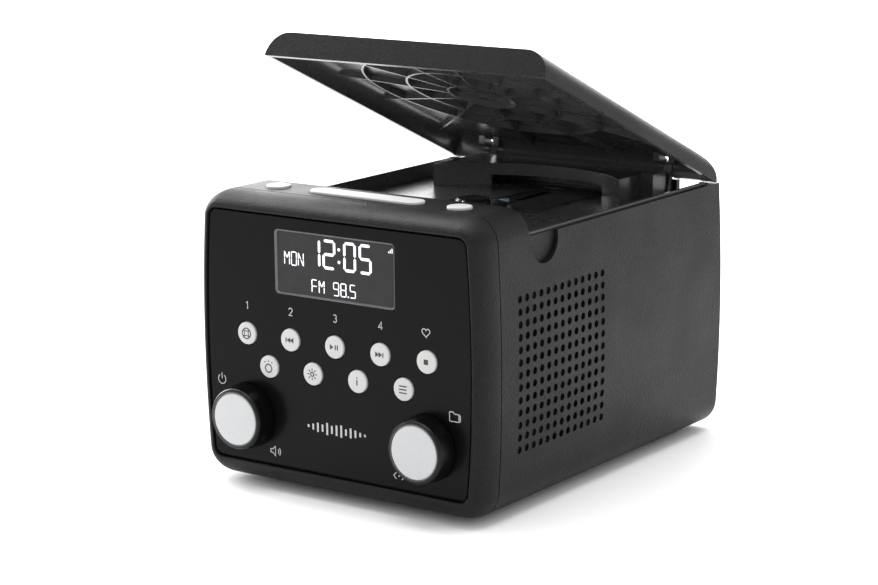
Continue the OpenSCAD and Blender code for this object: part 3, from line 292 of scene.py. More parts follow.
def ring(half, bow, low, high, r_low, r_high, side=40, end=36, corner=20):
    """Outline in X and Z, counter-clockwise from the right side's foot: two sides that are
    arcs of radius bow, four corner arcs that meet them in line, and straight ends."""
    middle = (low + high) / 2
    drop, rise = middle - low - r_low, high - r_high - middle
    x_low = half - bow + math.sqrt((bow - r_low) ** 2 - drop ** 2)
    x_high = half - bow + math.sqrt((bow - r_high) ** 2 - rise ** 2)
    a_low, a_high = math.asin(drop / (bow - r_low)), math.asin(rise / (bow - r_high))

    def arc(cx, cz, r, start, stop, n):
        turn = np.linspace(start, stop, n, endpoint=False)
        return np.stack([cx + r * np.cos(turn), cz + r * np.sin(turn)], 1)

    right = np.concatenate([
        arc(x_low, low + r_low, r_low, -math.pi / 2, -a_low, corner),
        arc(half - bow, middle, bow, -a_low, a_high, side),
        arc(x_high, high - r_high, r_high, a_high, math.pi / 2, corner)])
    top = np.stack([np.linspace(x_high, -x_high, end, endpoint=False), np.full(end, high)], 1)
    left = right[::-1] * [-1, 1]
    left = np.roll(left, 1, axis=0)
    left[0] = [-x_high, high]
    foot = np.stack([np.linspace(-x_low, x_low, end, endpoint=False), np.full(end, low)], 1)
    return np.concatenate([right, top, left, foot])


def built(name, points, faces, material, smooth=30):
    """A mesh from points in mm and faces, its sides turned outwards and its edges kept sharp
    above smooth degrees."""
    mesh = bpy.data.meshes.new(name)
    mesh.from_pydata((np.asarray(points) * MM).tolist(), [], faces)
    whole = bmesh.new()
    whole.from_mesh(mesh)
    bmesh.ops.remove_doubles(whole, verts=whole.verts, dist=1e-7)
    bmesh.ops.recalc_face_normals(whole, faces=whole.faces)
    whole.to_mesh(mesh)
    whole.free()
    mesh.materials.append(material)
    mesh.shade_smooth()
    mesh.set_sharp_from_angle(angle=math.radians(smooth))
    piece = bpy.data.objects.new(name, mesh)
    bpy.context.scene.collection.objects.link(piece)
    return piece


def wrapped(rows, columns, ends):
    """Faces of a grid of rings: each quad joins point j and j + 1 of ring i to those of ring
    i + 1. ends is "caps" to close the first and last ring, or "joined" to join them."""
    i, j = np.meshgrid(np.arange(rows - (ends == "caps")), np.arange(columns), indexing="ij")
    k, n = (i + 1) % rows, (j + 1) % columns
    quads = np.stack([i * columns + j, i * columns + n, k * columns + n, k * columns + j], -1)
    faces = quads.reshape(-1, 4).tolist()
    if ends == "caps":
        faces += [list(range(columns))[::-1],
                  list(range((rows - 1) * columns, rows * columns))]
    return faces


def eased(corners, cuts, steps=6):
    """An open line through corners whose inner corners are replaced by quadratic curves, each
    starting and ending its cut away from the corner along the two sides."""
    corners = np.asarray(corners, float)
    line = [corners[:1]]
    t = np.linspace(0, 1, steps + 1)[:, None]
    for before, corner, after, cut in zip(corners, corners[1:], corners[2:], cuts):
        if not cut:
            line.append(corner[None])
            continue
        p = corner + cut * (before - corner) / np.linalg.norm(before - corner)
        q = corner + cut * (after - corner) / np.linalg.norm(after - corner)
        line.append((1 - t) ** 2 * p + 2 * t * (1 - t) * corner + t ** 2 * q)
    return np.concatenate(line + [corners[-1:]])


def bezel():
    """Every profile point (s, y) gives the ring that lies s of the way from the cabinet's
    outline to the fascia's opening, at depth y. The profile rolls in a quarter ellipse,
    s = 0.83 (1 - cos a), y = seam - (seam - lip) sin a, and leaves a groove at the seam and
    another round the fascia."""
    outer = ring(body_half, side_bow, body_low, body_high, bottom_corner, top_corner)
    inner = ring(fascia_half, fascia_bow, fascia_low, fascia_high, fascia_corner, fascia_corner)
    a = np.linspace(0.04, math.pi / 2, 26)
    roll = np.stack([0.83 * (1 - np.cos(a)), bezel_seam - (bezel_seam - bezel_lip) * np.sin(a)], 1)
    back = [[0.865, bezel_lip + 0.06], [0.89, bezel_lip + 0.24], [0.9, bezel_lip + 0.5],
            [0.9, fascia_face + 2], [1, fascia_face + 2],
            [1, fascia_face + 2.5], [1.28, fascia_face + 2.5], [1.28, fascia_face + 4.45],
            [0.9, fascia_face + 4.5], [0.42, fascia_face + 6.5], [0.42, bezel_seam]]
    profile = np.concatenate([[[0.1, bezel_seam], [0.1, bezel_seam - 0.5]], roll, back])
    flat = outer[None] + profile[:, :1, None] * (inner - outer)[None]
    depth = np.broadcast_to(profile[:, 1:, None], flat.shape[:2] + (1,))
    points = np.concatenate([flat[..., :1], depth, flat[..., 1:]], -1).reshape(-1, 3)
    return built("bezel_frame", points, wrapped(len(profile), len(outer), "joined"), sanded_abs,
                 40)


kept(bezel(), "case", "front_bezel")

# ---------------------------------------------------------------- fascia and display
# The fascia is a plate of black acrylic with a hard gloss, screwed to the bezel from behind.
# The display looks out through a sunk window; its characters are lit segments.

gloss_acrylic = moulded("gloss_black_acrylic", "#0a0a0b", "#0c0c0d", (0.2, 0.26), 2.0, 0.0015,
                        {"Specular IOR Level": 0.07})
dressed("fascia_panel", gloss_acrylic, 0.3, steps=3)

# Display glass: smoked, with the panel's own grey showing evenly through it
smoked_glass = moulded("smoked_display_glass", "#252526", "#29292a", (0.1, 0.14), 6.0, 0.0,
                       {"Specular IOR Level": 0.15})
dressed("display_window", smoked_glass)
dressed("lcd_module", black_epoxy, 0.2)

# The window's rim: a moulded bevel that steps down to the glass. Its mid-grey tone is a painted
# reflection of the light on the bevel; the acrylic itself is black.
display_low, display_high = extent("display_window")
window_half = display_high[0] + 0.1
window_low, window_high = display_low[2] - 0.1, display_high[2] + 0.1
rim_painted_reflection = moulded("bevelled_rim_painted_reflection", "#565657", "#626263", (0.3, 0.4), 1.5, 0.0)


def window_rim():
    """Rings between round-cornered rectangles: the profile goes from the fascia's face at the
    pocket's edge down a bevel 0.75 mm wide to the glass, and back underneath."""
    corner = 1.8
    profile = np.array([[0.04, -0.02], [0.12, -0.03], [0.72, 0.62], [0.78, 0.78], [0.04, 0.78]])
    rings = []
    for inset, depth in profile:
        line = ring(window_half - inset, 5000, window_low + inset, window_high - inset,
                    corner - inset, corner - inset, 8, 8, 8)
        rings.append(np.stack([line[:, 0], np.full(len(line), fascia_face + depth),
                               line[:, 1]], 1))
    return built("display_rim", np.concatenate(rings),
                 wrapped(len(profile), len(rings[0]), "joined"), rim_painted_reflection, 50)


kept(window_rim(), "case")


def stroke(line, width, closed=False):
    """A flat ribbon of that width along a line: each point moves half a width to both sides
    along the mean normal of its two neighbours' pieces. Returns (points, quads)."""
    line = np.asarray(line, float)
    ahead = (np.roll(line, -1, 0) if closed else np.concatenate([line[1:], line[-1:]])) - line
    behind = line - (np.roll(line, 1, 0) if closed else np.concatenate([line[:1], line[:-1]]))
    if not closed:
        ahead[-1], behind[0] = behind[-1], ahead[0]
    ahead /= np.linalg.norm(ahead, axis=1, keepdims=True)
    behind /= np.linalg.norm(behind, axis=1, keepdims=True)
    along = ahead + behind
    along /= np.linalg.norm(along, axis=1, keepdims=True)
    spread = width / 2 / np.clip((along * ahead).sum(1, keepdims=True), 0.5, 1)
    normal = np.stack([-along[:, 1], along[:, 0]], 1) * spread
    n = len(line)
    points = np.concatenate([line + normal, line - normal])
    first = np.arange(n if closed else n - 1)
    second = (first + 1) % n
    quads = np.stack([first, first + n, second + n, second], 1)
    return points, quads.tolist()


def filled(outline):
    """A flat face inside an outline. Returns (points, [one face])."""
    return np.asarray(outline, float), [list(range(len(outline)))]


def circle(x, z, r, start=0, stop=360, n=28):
    """Points on a circle, from start to stop degrees."""
    turn = np.radians(np.linspace(start, stop, n, endpoint=stop - start < 360))
    return np.stack([x + r * np.cos(turn), z + r * np.sin(turn)], 1)


def printed(name, shapes, face, material, body, height=0.03):
    """Ink of that height on a face at depth y: each flat shape becomes a thin closed solid."""
    points, faces, start = [], [], 0
    for flat, quads in shapes:
        n = len(flat)
        for depth in (face - height, face + 0.01):
            points.append(np.stack([flat[:, 0], np.full(n, depth), flat[:, 1]], 1))
        faces += [[start + q for q in quad] for quad in quads]
        faces += [[start + n + q for q in quad[::-1]] for quad in quads]
        edges = {(a, b) for quad in quads for a, b in zip(quad, quad[1:] + quad[:1])}
        faces += [[start + a, start + b, start + n + b, start + n + a]
                  for a, b in sorted(edges) if (b, a) not in edges]
        start += 2 * n
    piece = built(name, np.concatenate(points), faces, material)
    return kept(piece, body)


# Lit segments: white light through a diffuser, slightly cool and very slightly uneven
lit_segments = moulded("lit_segments", "#e6e6ee", "#f4f4fa", (0.5, 0.6), 0.8, 0.0,
                       {"Emission Color": linear("#f2f2fb"), "Emission Strength": 0.55})

# Ends of each bar of a sixteen-bar character, on a cell 1 wide and 2 high
BARS = {"a": (0, 2, 1, 2), "b": (1, 2, 1, 1), "c": (1, 1, 1, 0), "d": (0, 0, 1, 0),
        "e": (0, 0, 0, 1), "f": (0, 1, 0, 2), "g": (0, 1, 1, 1), "h": (0, 2, 0.5, 1),
        "j": (1, 2, 0.5, 1), "m": (0.5, 1, 1, 0)}
CHARACTERS = {"0": "abcdef", "1": "bc", "2": "abged", "5": "afgcd", "8": "abcdefg",
              "9": "abcdfg", "F": "aefg", "M": "efhjbc", "N": "efhmbc", "O": "abcdef", " ": ""}


def bar_text(text, left, low, wide, high, pitch, thick):
    """Characters of lit bars. A bar is a hexagon whose points stop short of the cell's
    corners by half its thickness."""
    shapes = []
    for place, letter in enumerate(text):
        for bar in CHARACTERS[letter]:
            x0, z0, x1, z1 = BARS[bar]
            a = np.array([left + place * pitch + x0 * wide, low + z0 * high / 2])
            b = np.array([left + place * pitch + x1 * wide, low + z1 * high / 2])
            along = (b - a) / np.linalg.norm(b - a)
            across = np.array([-along[1], along[0]]) * thick / 2
            a, b = a + along * thick * 0.12, b - along * thick * 0.12
            inner = along * thick / 2
            shapes.append(filled([a, a + inner - across, b - inner - across, b,
                                  b - inner + across, a + inner + across]))
    return shapes


glass_face = display_low[1]
upright = body_low  # heights below are above the cabinet's bottom
clock = (bar_text("1", -13.3, upright + 93.7, 5.6, 10.8, 7.7, 1.15)
         + bar_text("2", -5.5, upright + 93.7, 5.3, 10.8, 7.7, 1.15)
         + bar_text("05", 4.8, upright + 93.7, 5.1, 10.8, 7.6, 1.15)
         + [filled(circle(2.1, upright + z, 0.65, n=16)) for z in (96.6, 101.6)])
small = (bar_text("MON", -25.2, upright + 93.0, 2.5, 5.3, 3.5, 0.42)
         + bar_text("FM 98", -11.6, upright + 83.1, 2.5, 5.1, 3.6, 0.42)
         + [filled(circle(6.4, upright + 83.2, 0.36, n=12))]
         + bar_text("5", 7.4, upright + 83.1, 2.5, 5.1, 3.6, 0.42))
signal = [stroke([[26.4 + i * 0.8, upright + 102.9], [26.4 + i * 0.8, upright + 103.6 + i * 0.6]],
                 0.4) for i in range(3)]
printed("display_characters", clock + small + signal, glass_face, lit_segments, "case")

# White screen print on the gloss fascia: matt ink, a soft grey-white, slightly broken
white_ink = moulded("white_screen_print", "#a2a2a2", "#b9b9b9", (0.5, 0.65), 0.25, 0.003)
line_w = 0.36
numeral_z = upright + 74


def at(shape, x, z, size=1.0):
    """Points of a small drawing moved to (x, z) and enlarged."""
    return np.asarray(shape, float) * size + [x, z]


key_pitch = 22.31
numerals = {
    "1": [[[-0.5, 0.9], [0.15, 1.5], [0.15, -1.5]]],
    "2": [np.concatenate([circle(0, 0.65, 0.85, 170, -35, 14), [[-0.85, -1.5], [0.9, -1.5]]])],
    "3": [np.concatenate([circle(-0.05, 0.75, 0.75, 150, -70, 12),
                          circle(-0.05, -0.68, 0.83, 75, -150, 14)])],
    "4": [[[0.95, -0.75], [-0.95, -0.75], [0.42, 1.5], [0.42, -1.5]]]}
marks = [stroke(at(line, (i - 2) * key_pitch + 0.2, numeral_z), line_w)
         for i, digit in enumerate("1234") for line in numerals[digit]]

# Heart: x = 16 sin^3 t, z = 13 cos t - 5 cos 2t - 2 cos 3t - cos 4t, scaled to 3.8 mm
t = np.linspace(0, 2 * math.pi, 40, endpoint=False)
heart = np.stack([16 * np.sin(t) ** 3,
                  13 * np.cos(t) - 5 * np.cos(2 * t) - 2 * np.cos(3 * t) - np.cos(4 * t)], 1)
marks.append(stroke(at(heart, 2 * key_pitch - 0.4, numeral_z, 0.118), line_w, True))

# Standby: an open ring with a bar; volume: a horn with two waves
marks.append(stroke(circle(-58.8, upright + 41.5, 1.95, 125, 415, 26), line_w))
marks.append(stroke([[-58.8, upright + 44.1], [-58.8, upright + 41.7]], line_w))
horn = [[-2.5, 0.7], [-1.5, 0.7], [-0.1, 2.0], [-0.1, -2.0], [-1.5, -0.7], [-2.5, -0.7]]
marks.append(stroke(at(horn, -31.4, upright + 15.1), line_w, True))
for radius in (1.3, 2.2):
    marks.append(stroke(circle(-31.1, upright + 15.1, radius, -42, 42, 9), line_w))

# Folder, and the two tuning arrows with a dot between them
folder = eased([[0, -1.7], [-2.4, -1.7], [-2.4, 2.0], [-0.7, 2.0], [-0.1, 1.3], [2.0, 1.3],
                [2.0, -1.7], [0, -1.7]], [0.3] * 6, 3)
marks.append(stroke(at(folder[:-1], 57.4, upright + 42.4), line_w, True))
marks.append(stroke(at([[2.0, 1.3], [2.6, 0.8], [2.6, -1.2], [2.0, -1.7]], 57.4,
                       upright + 42.4), line_w))
for way in (-1, 1):
    marks.append(stroke(at([[way * 1.3, 1.3], [way * 2.6, 0], [way * 1.3, -1.3]], 30.6,
                           upright + 14.7), line_w))
marks.append(filled(circle(30.6, upright + 14.7, 0.32, n=12)))

# A plain row of sound bars between the knobs
for i, high in enumerate([1.2, 2.4, 3.8, 2.9, 5.0, 3.3, 4.3, 5.0, 2.6, 4.0, 3.0, 1.8, 1.0]):
    x = (i - 6) * 2.35
    marks.append(stroke([[x, upright + 28.4 - high / 2], [x, upright + 28.4 + high / 2]], 0.9))
printed("fascia_marks", marks, fascia_face, white_ink, "case")

# ---------------------------------------------------------------- keys
# Nine round keys of satin white ABS, each turned-looking but moulded in one with its flange
# and stem. Their pictograms are pad-printed in black.

# Satin ABS: almost even white with a soft sheen and a fine spark-eroded grain
satin_white_abs = moulded("satin_white_abs", "#b4b4b3", "#bcbcbb", (0.38, 0.46), 0.35, 0.004,
                         {"Specular IOR Level": 0.3})
black_ink = moulded("black_pad_print", "#151516", "#232324", (0.4, 0.5), 0.25, 0.002)


def turned(name, profile, centre, axis, material, around=72, smooth=32, ends="caps"):
    """A profile of (radius, distance) points turned about an axis through centre: point a of
    the circle lies at radius (cos a, sin a) across it. axis is "y" (distance along +Y) or "z"
    (distance along +Z). Its two ends close on the axis, or join into a collar."""
    profile = np.asarray(profile, float)
    a = np.linspace(0, 2 * math.pi, around, endpoint=False)
    across = profile[:, :1, None] * np.stack([np.cos(a), np.sin(a)], 1)[None]
    along = np.broadcast_to(profile[:, 1:, None], across.shape[:2] + (1,))
    order = [across[..., :1], along, across[..., 1:]] if axis == "y" else [across, along]
    points = np.concatenate(order, -1) + np.asarray(centre, float)
    return built(name, points.reshape(-1, 3), wrapped(len(profile), around, ends), material,
                 smooth)


def key_profile(radius, proud, flange):
    """Key from its face to the end of its stem: a face crowned by 0.12 mm whose edge is
    rounded 0.45 mm, the flange behind the panel, and the stem."""
    face = [[0.02, -proud], [radius * 0.6, -proud + 0.03], [radius, -proud + 0.12],
            [radius, flange], [radius + 0.9, flange], [radius + 0.9, flange + 1],
            [1.5, flange + 1], [1.5, flange + 2.69], [0.02, flange + 2.69]]
    return eased(face, [0, 0.45, 0, 0.15, 0.15, 0, 0.2])


key_r = 4.6
key_proud = 0.8
key_face = fascia_face - key_proud
upper_z, lower_z = upright + 62.5, upright + 50.1
key_places = {
    "ball_key": (-2 * key_pitch, upper_z), "back_key": (-key_pitch, upper_z),
    "play_key": (0, upper_z), "forward_key": (key_pitch, upper_z),
    "stop_key": (2 * key_pitch, upper_z), "alarm_key": (-1.5 * key_pitch, lower_z),
    "dimmer_key": (-0.5 * key_pitch, lower_z), "info_key": (0.5 * key_pitch, lower_z),
    "menu_key": (1.5 * key_pitch, lower_z)}
for key, (x, z) in key_places.items():
    cap = turned(key + "_cap", key_profile(key_r, key_proud, 2.8), (x, fascia_face, z), "y",
                 satin_white_abs)
    kept(cap, key + "_body", key)


def triangle(x, way, size=1.3):
    """A play triangle pointing along way (1 or -1), its middle at x."""
    return filled([[x - way * size * 0.5, -size * 0.72], [x + way * size * 0.62, 0],
                   [x - way * size * 0.5, size * 0.72]])


# Ball: a circle crossed by curved bands. Clock: a ring under three dots. Lamp: a ring with rays
bands = [stroke(circle(0, 0, 1.75), 0.4, True)]
for angle in range(0, 360, 90):
    bands.append(stroke(circle(2.2 * math.cos(math.radians(angle)),
                               2.2 * math.sin(math.radians(angle)), 1.45, angle + 139,
                               angle + 221, 9), 0.3))
rays = [stroke(circle(0, 0, 0.66, n=18), 0.42, True)]
for angle in range(0, 360, 45):
    way = np.array([math.cos(math.radians(angle)), math.sin(math.radians(angle))])
    rays.append(stroke([way * 1.15, way * 2.0], 0.34))
pictograms = {
    "ball_key": bands,
    "back_key": [triangle(-0.35, -1), triangle(0.95, -1),
                 stroke([[-1.45, -0.8], [-1.45, 0.8]], 0.4)],
    "play_key": [triangle(-0.95, 1), stroke([[0.6, -0.85], [0.6, 0.85]], 0.44),
                 stroke([[1.45, -0.85], [1.45, 0.85]], 0.44)],
    "forward_key": [triangle(-0.95, 1), triangle(0.35, 1),
                    stroke([[1.45, -0.8], [1.45, 0.8]], 0.4)],
    "stop_key": [filled([[-0.85, -0.85], [0.85, -0.85], [0.85, 0.85], [-0.85, 0.85]])],
    "alarm_key": [stroke(circle(0, -0.5, 1.35), 0.44, True)]
    + [filled(circle(x, z, 0.27, n=12)) for x, z in ((-1.45, 1.55), (0, 1.95), (1.45, 1.55))],
    "dimmer_key": rays,
    "info_key": [stroke([[0, -1.2], [0, 0.6]], 0.5), filled(circle(0, 1.3, 0.28, n=12))],
    "menu_key": [stroke([[-1.5, z], [1.5, z]], 0.42) for z in (-1.1, 0, 1.1)]}
for key, (x, z) in key_places.items():
    moved = [(at(points, x, z, 1.22), faces) for points, faces in pictograms[key]]
    printed(key + "_print", moved, key_face + 0.04, black_ink, key + "_body", 0.06)

# ---------------------------------------------------------------- knobs
# Each knob is a cup of polished black ABS pressed on its encoder's shaft. A disc of spun
# aluminium, bead-blasted and clear-lacquered, is glued into its face inside a thin rim.

polished_abs = moulded("polished_black_abs", "#070708", "#0a0a0b", (0.24, 0.32), 1.2, 0.0,
                       {"Specular IOR Level": 0.2})
# The thin rim round the disc: its grey tone is a painted highlight along the black cup's edge.
painted_highlight_rim = moulded("rim_with_painted_highlight", "#38383a", "#47474a", (0.2, 0.3), 0.5, 0.0)
# Blasted aluminium: pale, even, with a grit of about 0.1 mm, drawn at 0.4 mm
blasted_aluminium = moulded("bead_blasted_aluminium", "#adaeaf", "#b6b7b8", (0.42, 0.5), 0.4,
                            0.003, {"Metallic": 0.15})
knob_x, knob_z = 2 * key_pitch, upright + 28.5
knob_skirt = eased([[3.02, -0.8], [13.1, -0.8], [13.5, -1.2], [13.3, -3.84], [12.6, -8.6],
                    [12.05, -9.42], [10.92, -9.42], [10.9, -8.4], [3.02, -8.4]],
                   [0.2, 0.25, 0.6, 0.5, 0.3, 0.05, 0.1])
knob_disc = eased([[0.02, -9.5], [10.2, -9.58], [10.8, -9.3], [10.8, -8.4], [0.02, -8.4]],
                  [0.3, 0.2, 0.1])
knob_rim = eased([[10.86, -9.3], [10.95, -9.56], [11.25, -9.58], [11.35, -9.38], [10.9, -9.3]],
                 [0.06, 0.06, 0.06], 4)
for side, sign in (("left", -1), ("right", 1)):
    centre = (sign * knob_x, fascia_face, knob_z)
    kept(turned(side + "_knob_cup", knob_skirt, centre, "y", polished_abs, 96, ends="joined"),
         side + "_turn", side + "_knob")
    kept(turned(side + "_knob_disc", knob_disc, centre, "y", blasted_aluminium, 96),
         side + "_turn", side + "_knob_cap")
    kept(turned(side + "_knob_rim", knob_rim, centre, "y", painted_highlight_rim, 96, 30, "joined"),
         side + "_turn")

# ---------------------------------------------------------------- top strip
# The strip closes the cabinet between bezel and lid. It is moulded in the same etched ABS, and
# three satin keys come up through it: a long snooze bar and two round ones.

dressed("top_strip", sanded_abs, 0.35)

strip_back = extent("top_strip")[1][1]
snooze_low, snooze_high = extent("snooze_bar")
strip_mid = (snooze_low[1] + snooze_high[1]) / 2
key_top = snooze_high[2]
flange_top = body_high - 2.8
snooze_l, snooze_w = 55, 9.2
top_key_r, top_key_x = 5.0, 44.9
stem_r = 1.5


def snooze():
    """Rings between the bar's axis line and its stadium outline: point a of a ring of radius r
    lies at r (cos a, sin a) about the nearer end of a line as long as the bar is longer than
    wide. The rings follow the profile of a key: crowned face, rounded edge, flange."""
    line_half, r = (snooze_l - snooze_w) / 2, snooze_w / 2
    profile = eased([[0.02, key_top], [r * 0.7, key_top - 0.03], [r, key_top - 0.12],
                     [r, flange_top], [r + 1, flange_top], [r + 1, flange_top - 1],
                     [0.02, flange_top - 1]], [0, 0.6, 0, 0.15, 0.15])
    around = 80
    a = np.linspace(-math.pi / 2, math.pi * 1.5, around, endpoint=False)
    shift = np.where(np.arange(around) < around / 2, line_half, -line_half)
    x = profile[:, :1] * np.cos(a)[None] + shift[None]
    y = profile[:, :1] * np.sin(a)[None] + strip_mid
    z = np.broadcast_to(profile[:, 1:], x.shape)
    points = np.stack([x, y, z], -1).reshape(-1, 3)
    return built("snooze_bar_cap", points, wrapped(len(profile), around, "caps"),
                 satin_white_abs)


kept(snooze(), "snooze_bar_body", "snooze_bar")
stem = turned("snooze_stem", [[0.02, snooze_low[2]], [stem_r - 0.1, snooze_low[2]],
                              [stem_r, snooze_low[2] + 0.1], [stem_r, flange_top - 0.9],
                              [0.02, flange_top - 0.9]], (0, strip_mid, 0), "z",
              satin_white_abs, 32)
kept(stem, "snooze_bar_body")
for side, sign in (("left", -1), ("right", 1)):
    r, low = top_key_r, snooze_low[2]
    line = eased([[0.02, key_top], [r * 0.6, key_top - 0.03], [r, key_top - 0.12],
                  [r, flange_top], [r + 0.9, flange_top], [r + 0.9, flange_top - 1],
                  [stem_r, flange_top - 1], [stem_r, low], [0.02, low]],
                 [0, 0.5, 0, 0.15, 0.15, 0, 0.2])
    kept(turned(side + "_top_key_cap", line, (sign * top_key_x, strip_mid, 0), "z",
                satin_white_abs), side + "_top_key_body", side + "_top_key")

# ---------------------------------------------------------------- disc player
# Under the lid lies a deck moulded in smooth, half-gloss black ABS. The mechanism hangs below
# it on four rubber dampers: a folded steel chassis, a spindle motor with its turntable, and a
# laser sled that a rack and pinion moves along two ground rails.

# Polished-tool ABS, black, with a soft gloss that wanders a little across it. Its dark grey tone,
# far lighter than the cabinet's black, is painted fill light for the shade under the lid.
painted_fill_abs = moulded("half_gloss_abs_with_painted_fill_light", "#39393a", "#454546", (0.22, 0.32), 0.9, 0.0)
dressed("cd_deck", painted_fill_abs, 0.3)
dressed("mechanism_cover", moulded("matt_black_sheet", "#202021", "#2a2a2b", (0.35, 0.48), 0.5,
                                   0.012), 0.12)
dressed("mechanism_chassis", blacked_steel, 0.2)
dressed("rubber_dampers", nitrile, 0.3)
dressed("spindle_motor", nickelled_steel, 0.3)
dressed("sled_motor", nickelled_steel, 0.3)

# Turntable: acetal dyed black with a soft shine; the pinion is the same stuff undyed
black_acetal = moulded("black_acetal", "#131314", "#1d1d1e", (0.18, 0.3), 0.4, 0.004)
acetal = moulded("pale_acetal", "#b9babb", "#c9cacb", (0.3, 0.42), 0.4, 0.006)
dressed("turntable", black_acetal, 0.25)
dressed("sled_pinion", acetal, 0.06)
dressed("clamp_balls", nickelled_steel)

# Ground rails: bright steel with a fine circumferential grain
ground_steel = moulded("ground_steel", "#c4c5c7", "#dadbdc", (0.12, 0.22), 0.2, 0.002,
                       {"Metallic": 1.0})
dressed("sled_rails", ground_steel, 0.1)
dressed("laser_sled", black_epoxy, 0.15)

# Lens: moulded acrylic with a violet coating, in its dark holder
lens_glass = moulded("coated_lens", "#7f93a4", "#a9bccb", (0.03, 0.08), 3.0, 0.0,
                     {"Coat Weight": 0.8})
lens_low, lens_high = extent("laser_lens")
lens_mid = (lens_low + lens_high) / 2
dome = [[0.02, lens_high[2]], [0.7, lens_high[2] - 0.03], [1.3, lens_high[2] - 0.16],
        [1.8, lens_high[2] - 0.42], [1.95, lens_high[2] - 0.5], [2.3, lens_high[2] - 0.28],
        [2.6, lens_high[2] - 0.45], [2.6, lens_low[2]], [0.02, lens_low[2]]]
kept(turned("laser_lens_dome", eased(dome, [0.2, 0.2, 0.1, 0.08, 0.15, 0.1, 0.1]),
            (lens_mid[0], lens_mid[1], 0), "z", lens_glass, 48), "sled", "laser_lens")

# ---------------------------------------------------------------- lid
# The lid is one ABS moulding, etched outside and smooth inside, where rings and spokes stiffen
# it. Its four knuckles turn on two black pins through the deck's arms.

lid_open = 24
lid = dressed("lid_shell", sanded_abs, 0.3)
# Second slot: the smooth inside, in a lighter grey that is painted fill light.
lid.data.materials.append(painted_fill_abs)


def line_the_lid():
    """Gives the smooth finish to the lid's inside, in a grey lighter than the outside's black that
    is painted fill light for the shade under the lid: the faces that, with the lid turned shut
    about its hinge, lie deeper than a wall's thickness or face inwards."""
    mesh = lid.data
    middle = np.empty(len(mesh.polygons) * 3)
    facing = np.empty(len(mesh.polygons) * 3)
    mesh.polygons.foreach_get("center", middle)
    mesh.polygons.foreach_get("normal", facing)
    middle, facing = middle.reshape(-1, 3) / MM, facing.reshape(-1, 3)
    pivot_y, pivot_z = 90.85, body_high - 5.6
    turn = math.radians(lid_open)
    spin = np.array([[math.cos(turn), -math.sin(turn)], [math.sin(turn), math.cos(turn)]])
    shut = (middle[:, 1:] - [pivot_y, pivot_z]) @ spin.T + [pivot_y, pivot_z]
    looks = facing[:, 1:] @ spin.T
    x, y, z = middle[:, 0], shut[:, 0], shut[:, 1]
    front, rear, wall = strip_back + 0.3, pivot_y + 1, 2.0
    outside = (((np.abs(x) > body_half - wall) & (facing[:, 0] * x > 0))
               | ((y < front + wall) & (looks[:, 0] < -0.3))
               | ((z > body_high - wall) & (looks[:, 1] > 0.2))
               | ((y > rear - 10) & (looks[:, 0] > 0.2))
               | ((np.abs(x) > body_half - 12) & (z > body_high - 12) & (looks[:, 1] > 0.1)
                  & (facing[:, 0] * x > 0)))
    mesh.polygons.foreach_set("material_index", np.where(outside, 0, 1).astype(np.int32))


line_the_lid()
dressed("hinge_pins", black_acetal, 0.15)

# ---------------------------------------------------------------- aerial
# The telescopic aerial is drawn brass tube, chrome plated, in a die-cast elbow that turns in
# the rear cover; here it is pushed in and folded flat.

chrome = moulded("chromed_brass", "#c9cbce", "#d8dadd", (0.05, 0.12), 0.8, 0.0,
                 {"Metallic": 1.0})
dressed("aerial_outer_tube", chrome, 0.1)
dressed("aerial_inner_tube", chrome, 0.5, steps=3)
dressed("aerial_elbow", blacked_steel, 0.25)

# ---------------------------------------------------------------- studio
# The radio stands on a pale floor in even white light. Soft lights hang overhead, at the upper
# left and behind, and one at the left reaches in under the lid.

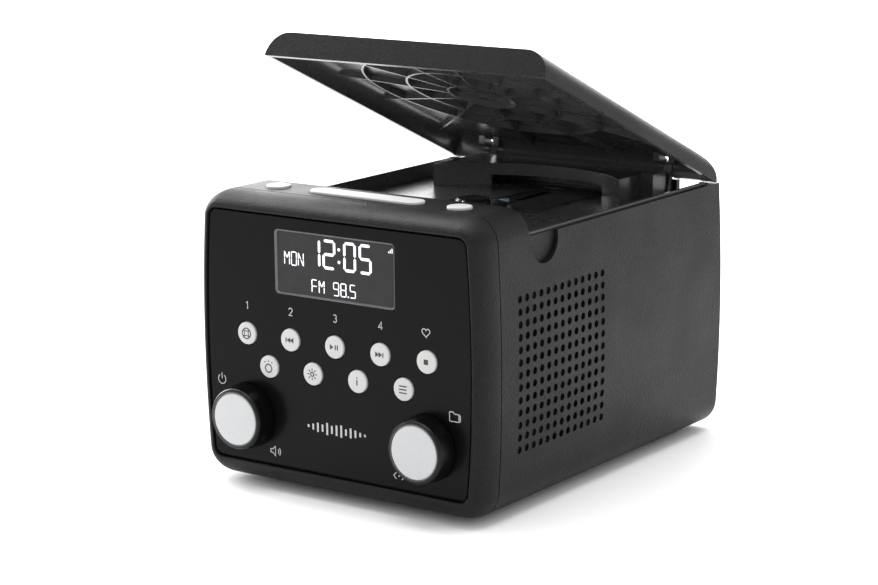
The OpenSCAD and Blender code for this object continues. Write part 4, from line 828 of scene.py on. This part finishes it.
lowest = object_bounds()[0][2]
floor_half = 6.0
floor_mesh = bpy.data.meshes.new("studio_floor")
floor_mesh.from_pydata([(x, y, lowest) for x, y in ((-floor_half, -floor_half),
                        (floor_half, -floor_half), (floor_half, floor_half),
                        (-floor_half, floor_half))], [], [(0, 1, 2, 3)])
floor_mesh.materials.append(moulded("white_paper", "#f6f6f6", "#f9f9f9", (0.85, 0.95), 2.0, 0.0,
                                    {"Specular IOR Level": 0.1}))
floor = bpy.data.objects.new("studio_floor", floor_mesh)
bpy.context.scene.collection.objects.link(floor)

world = bpy.data.worlds.new("white_room")
world.use_nodes = True
world.node_tree.nodes["Background"].inputs["Color"].default_value = (1, 1, 1, 1)
world.node_tree.nodes["Background"].inputs["Strength"].default_value = 1.0
bpy.context.scene.world = world
bpy.context.scene.view_settings.view_transform = "Standard"


def softbox(name, place, target, size, power):
    """A square area light of that size at place, facing target, all in metres."""
    lamp = bpy.data.lights.new(name, "AREA")
    lamp.shape, lamp.size, lamp.energy = "SQUARE", size, power
    light = bpy.data.objects.new(name, lamp)
    light.location = place
    light.rotation_mode = "QUATERNION"
    light.rotation_quaternion = (Vector(target) - Vector(place)).to_track_quat("-Z", "Y")
    bpy.context.scene.collection.objects.link(light)


softbox("overhead_softbox", (0.1, 0.0, 1.6), (0, 0, 0.05), 1.0, 14)
softbox("upper_left_softbox", (-0.8, 0.25, 1.3), (0, 0, 0.08), 0.7, 11)
softbox("rear_softbox", (-0.85, 1.5, 0.6), (0, 0, 0.1), 1.2, 22)
softbox("left_softbox", (-1.4, 0.15, 0.5), (0, 0, 0.12), 1.0, 30)

camera_data = bpy.data.cameras.new("studio_camera")
camera_data.lens, camera_data.sensor_width = 101.88, 36.0
camera_data.clip_start, camera_data.clip_end = 0.01, 100
camera = bpy.data.objects.new("studio_camera", camera_data)
azimuth, elevation, roll = (math.radians(angle) for angle in (35.57, 12.20, -0.52))
back = Vector((math.sin(azimuth) * math.cos(elevation),
               -math.cos(azimuth) * math.cos(elevation), math.sin(elevation)))
camera.location = Vector((-0.0045, -0.0137, 0.0720)) + back * 1.040
camera.rotation_mode = "QUATERNION"
camera.rotation_quaternion = ((-back).to_track_quat("-Z", "Y")
                              @ Quaternion((0, 0, 1), roll))
bpy.context.scene.collection.objects.link(camera)
bpy.context.scene.camera = camera
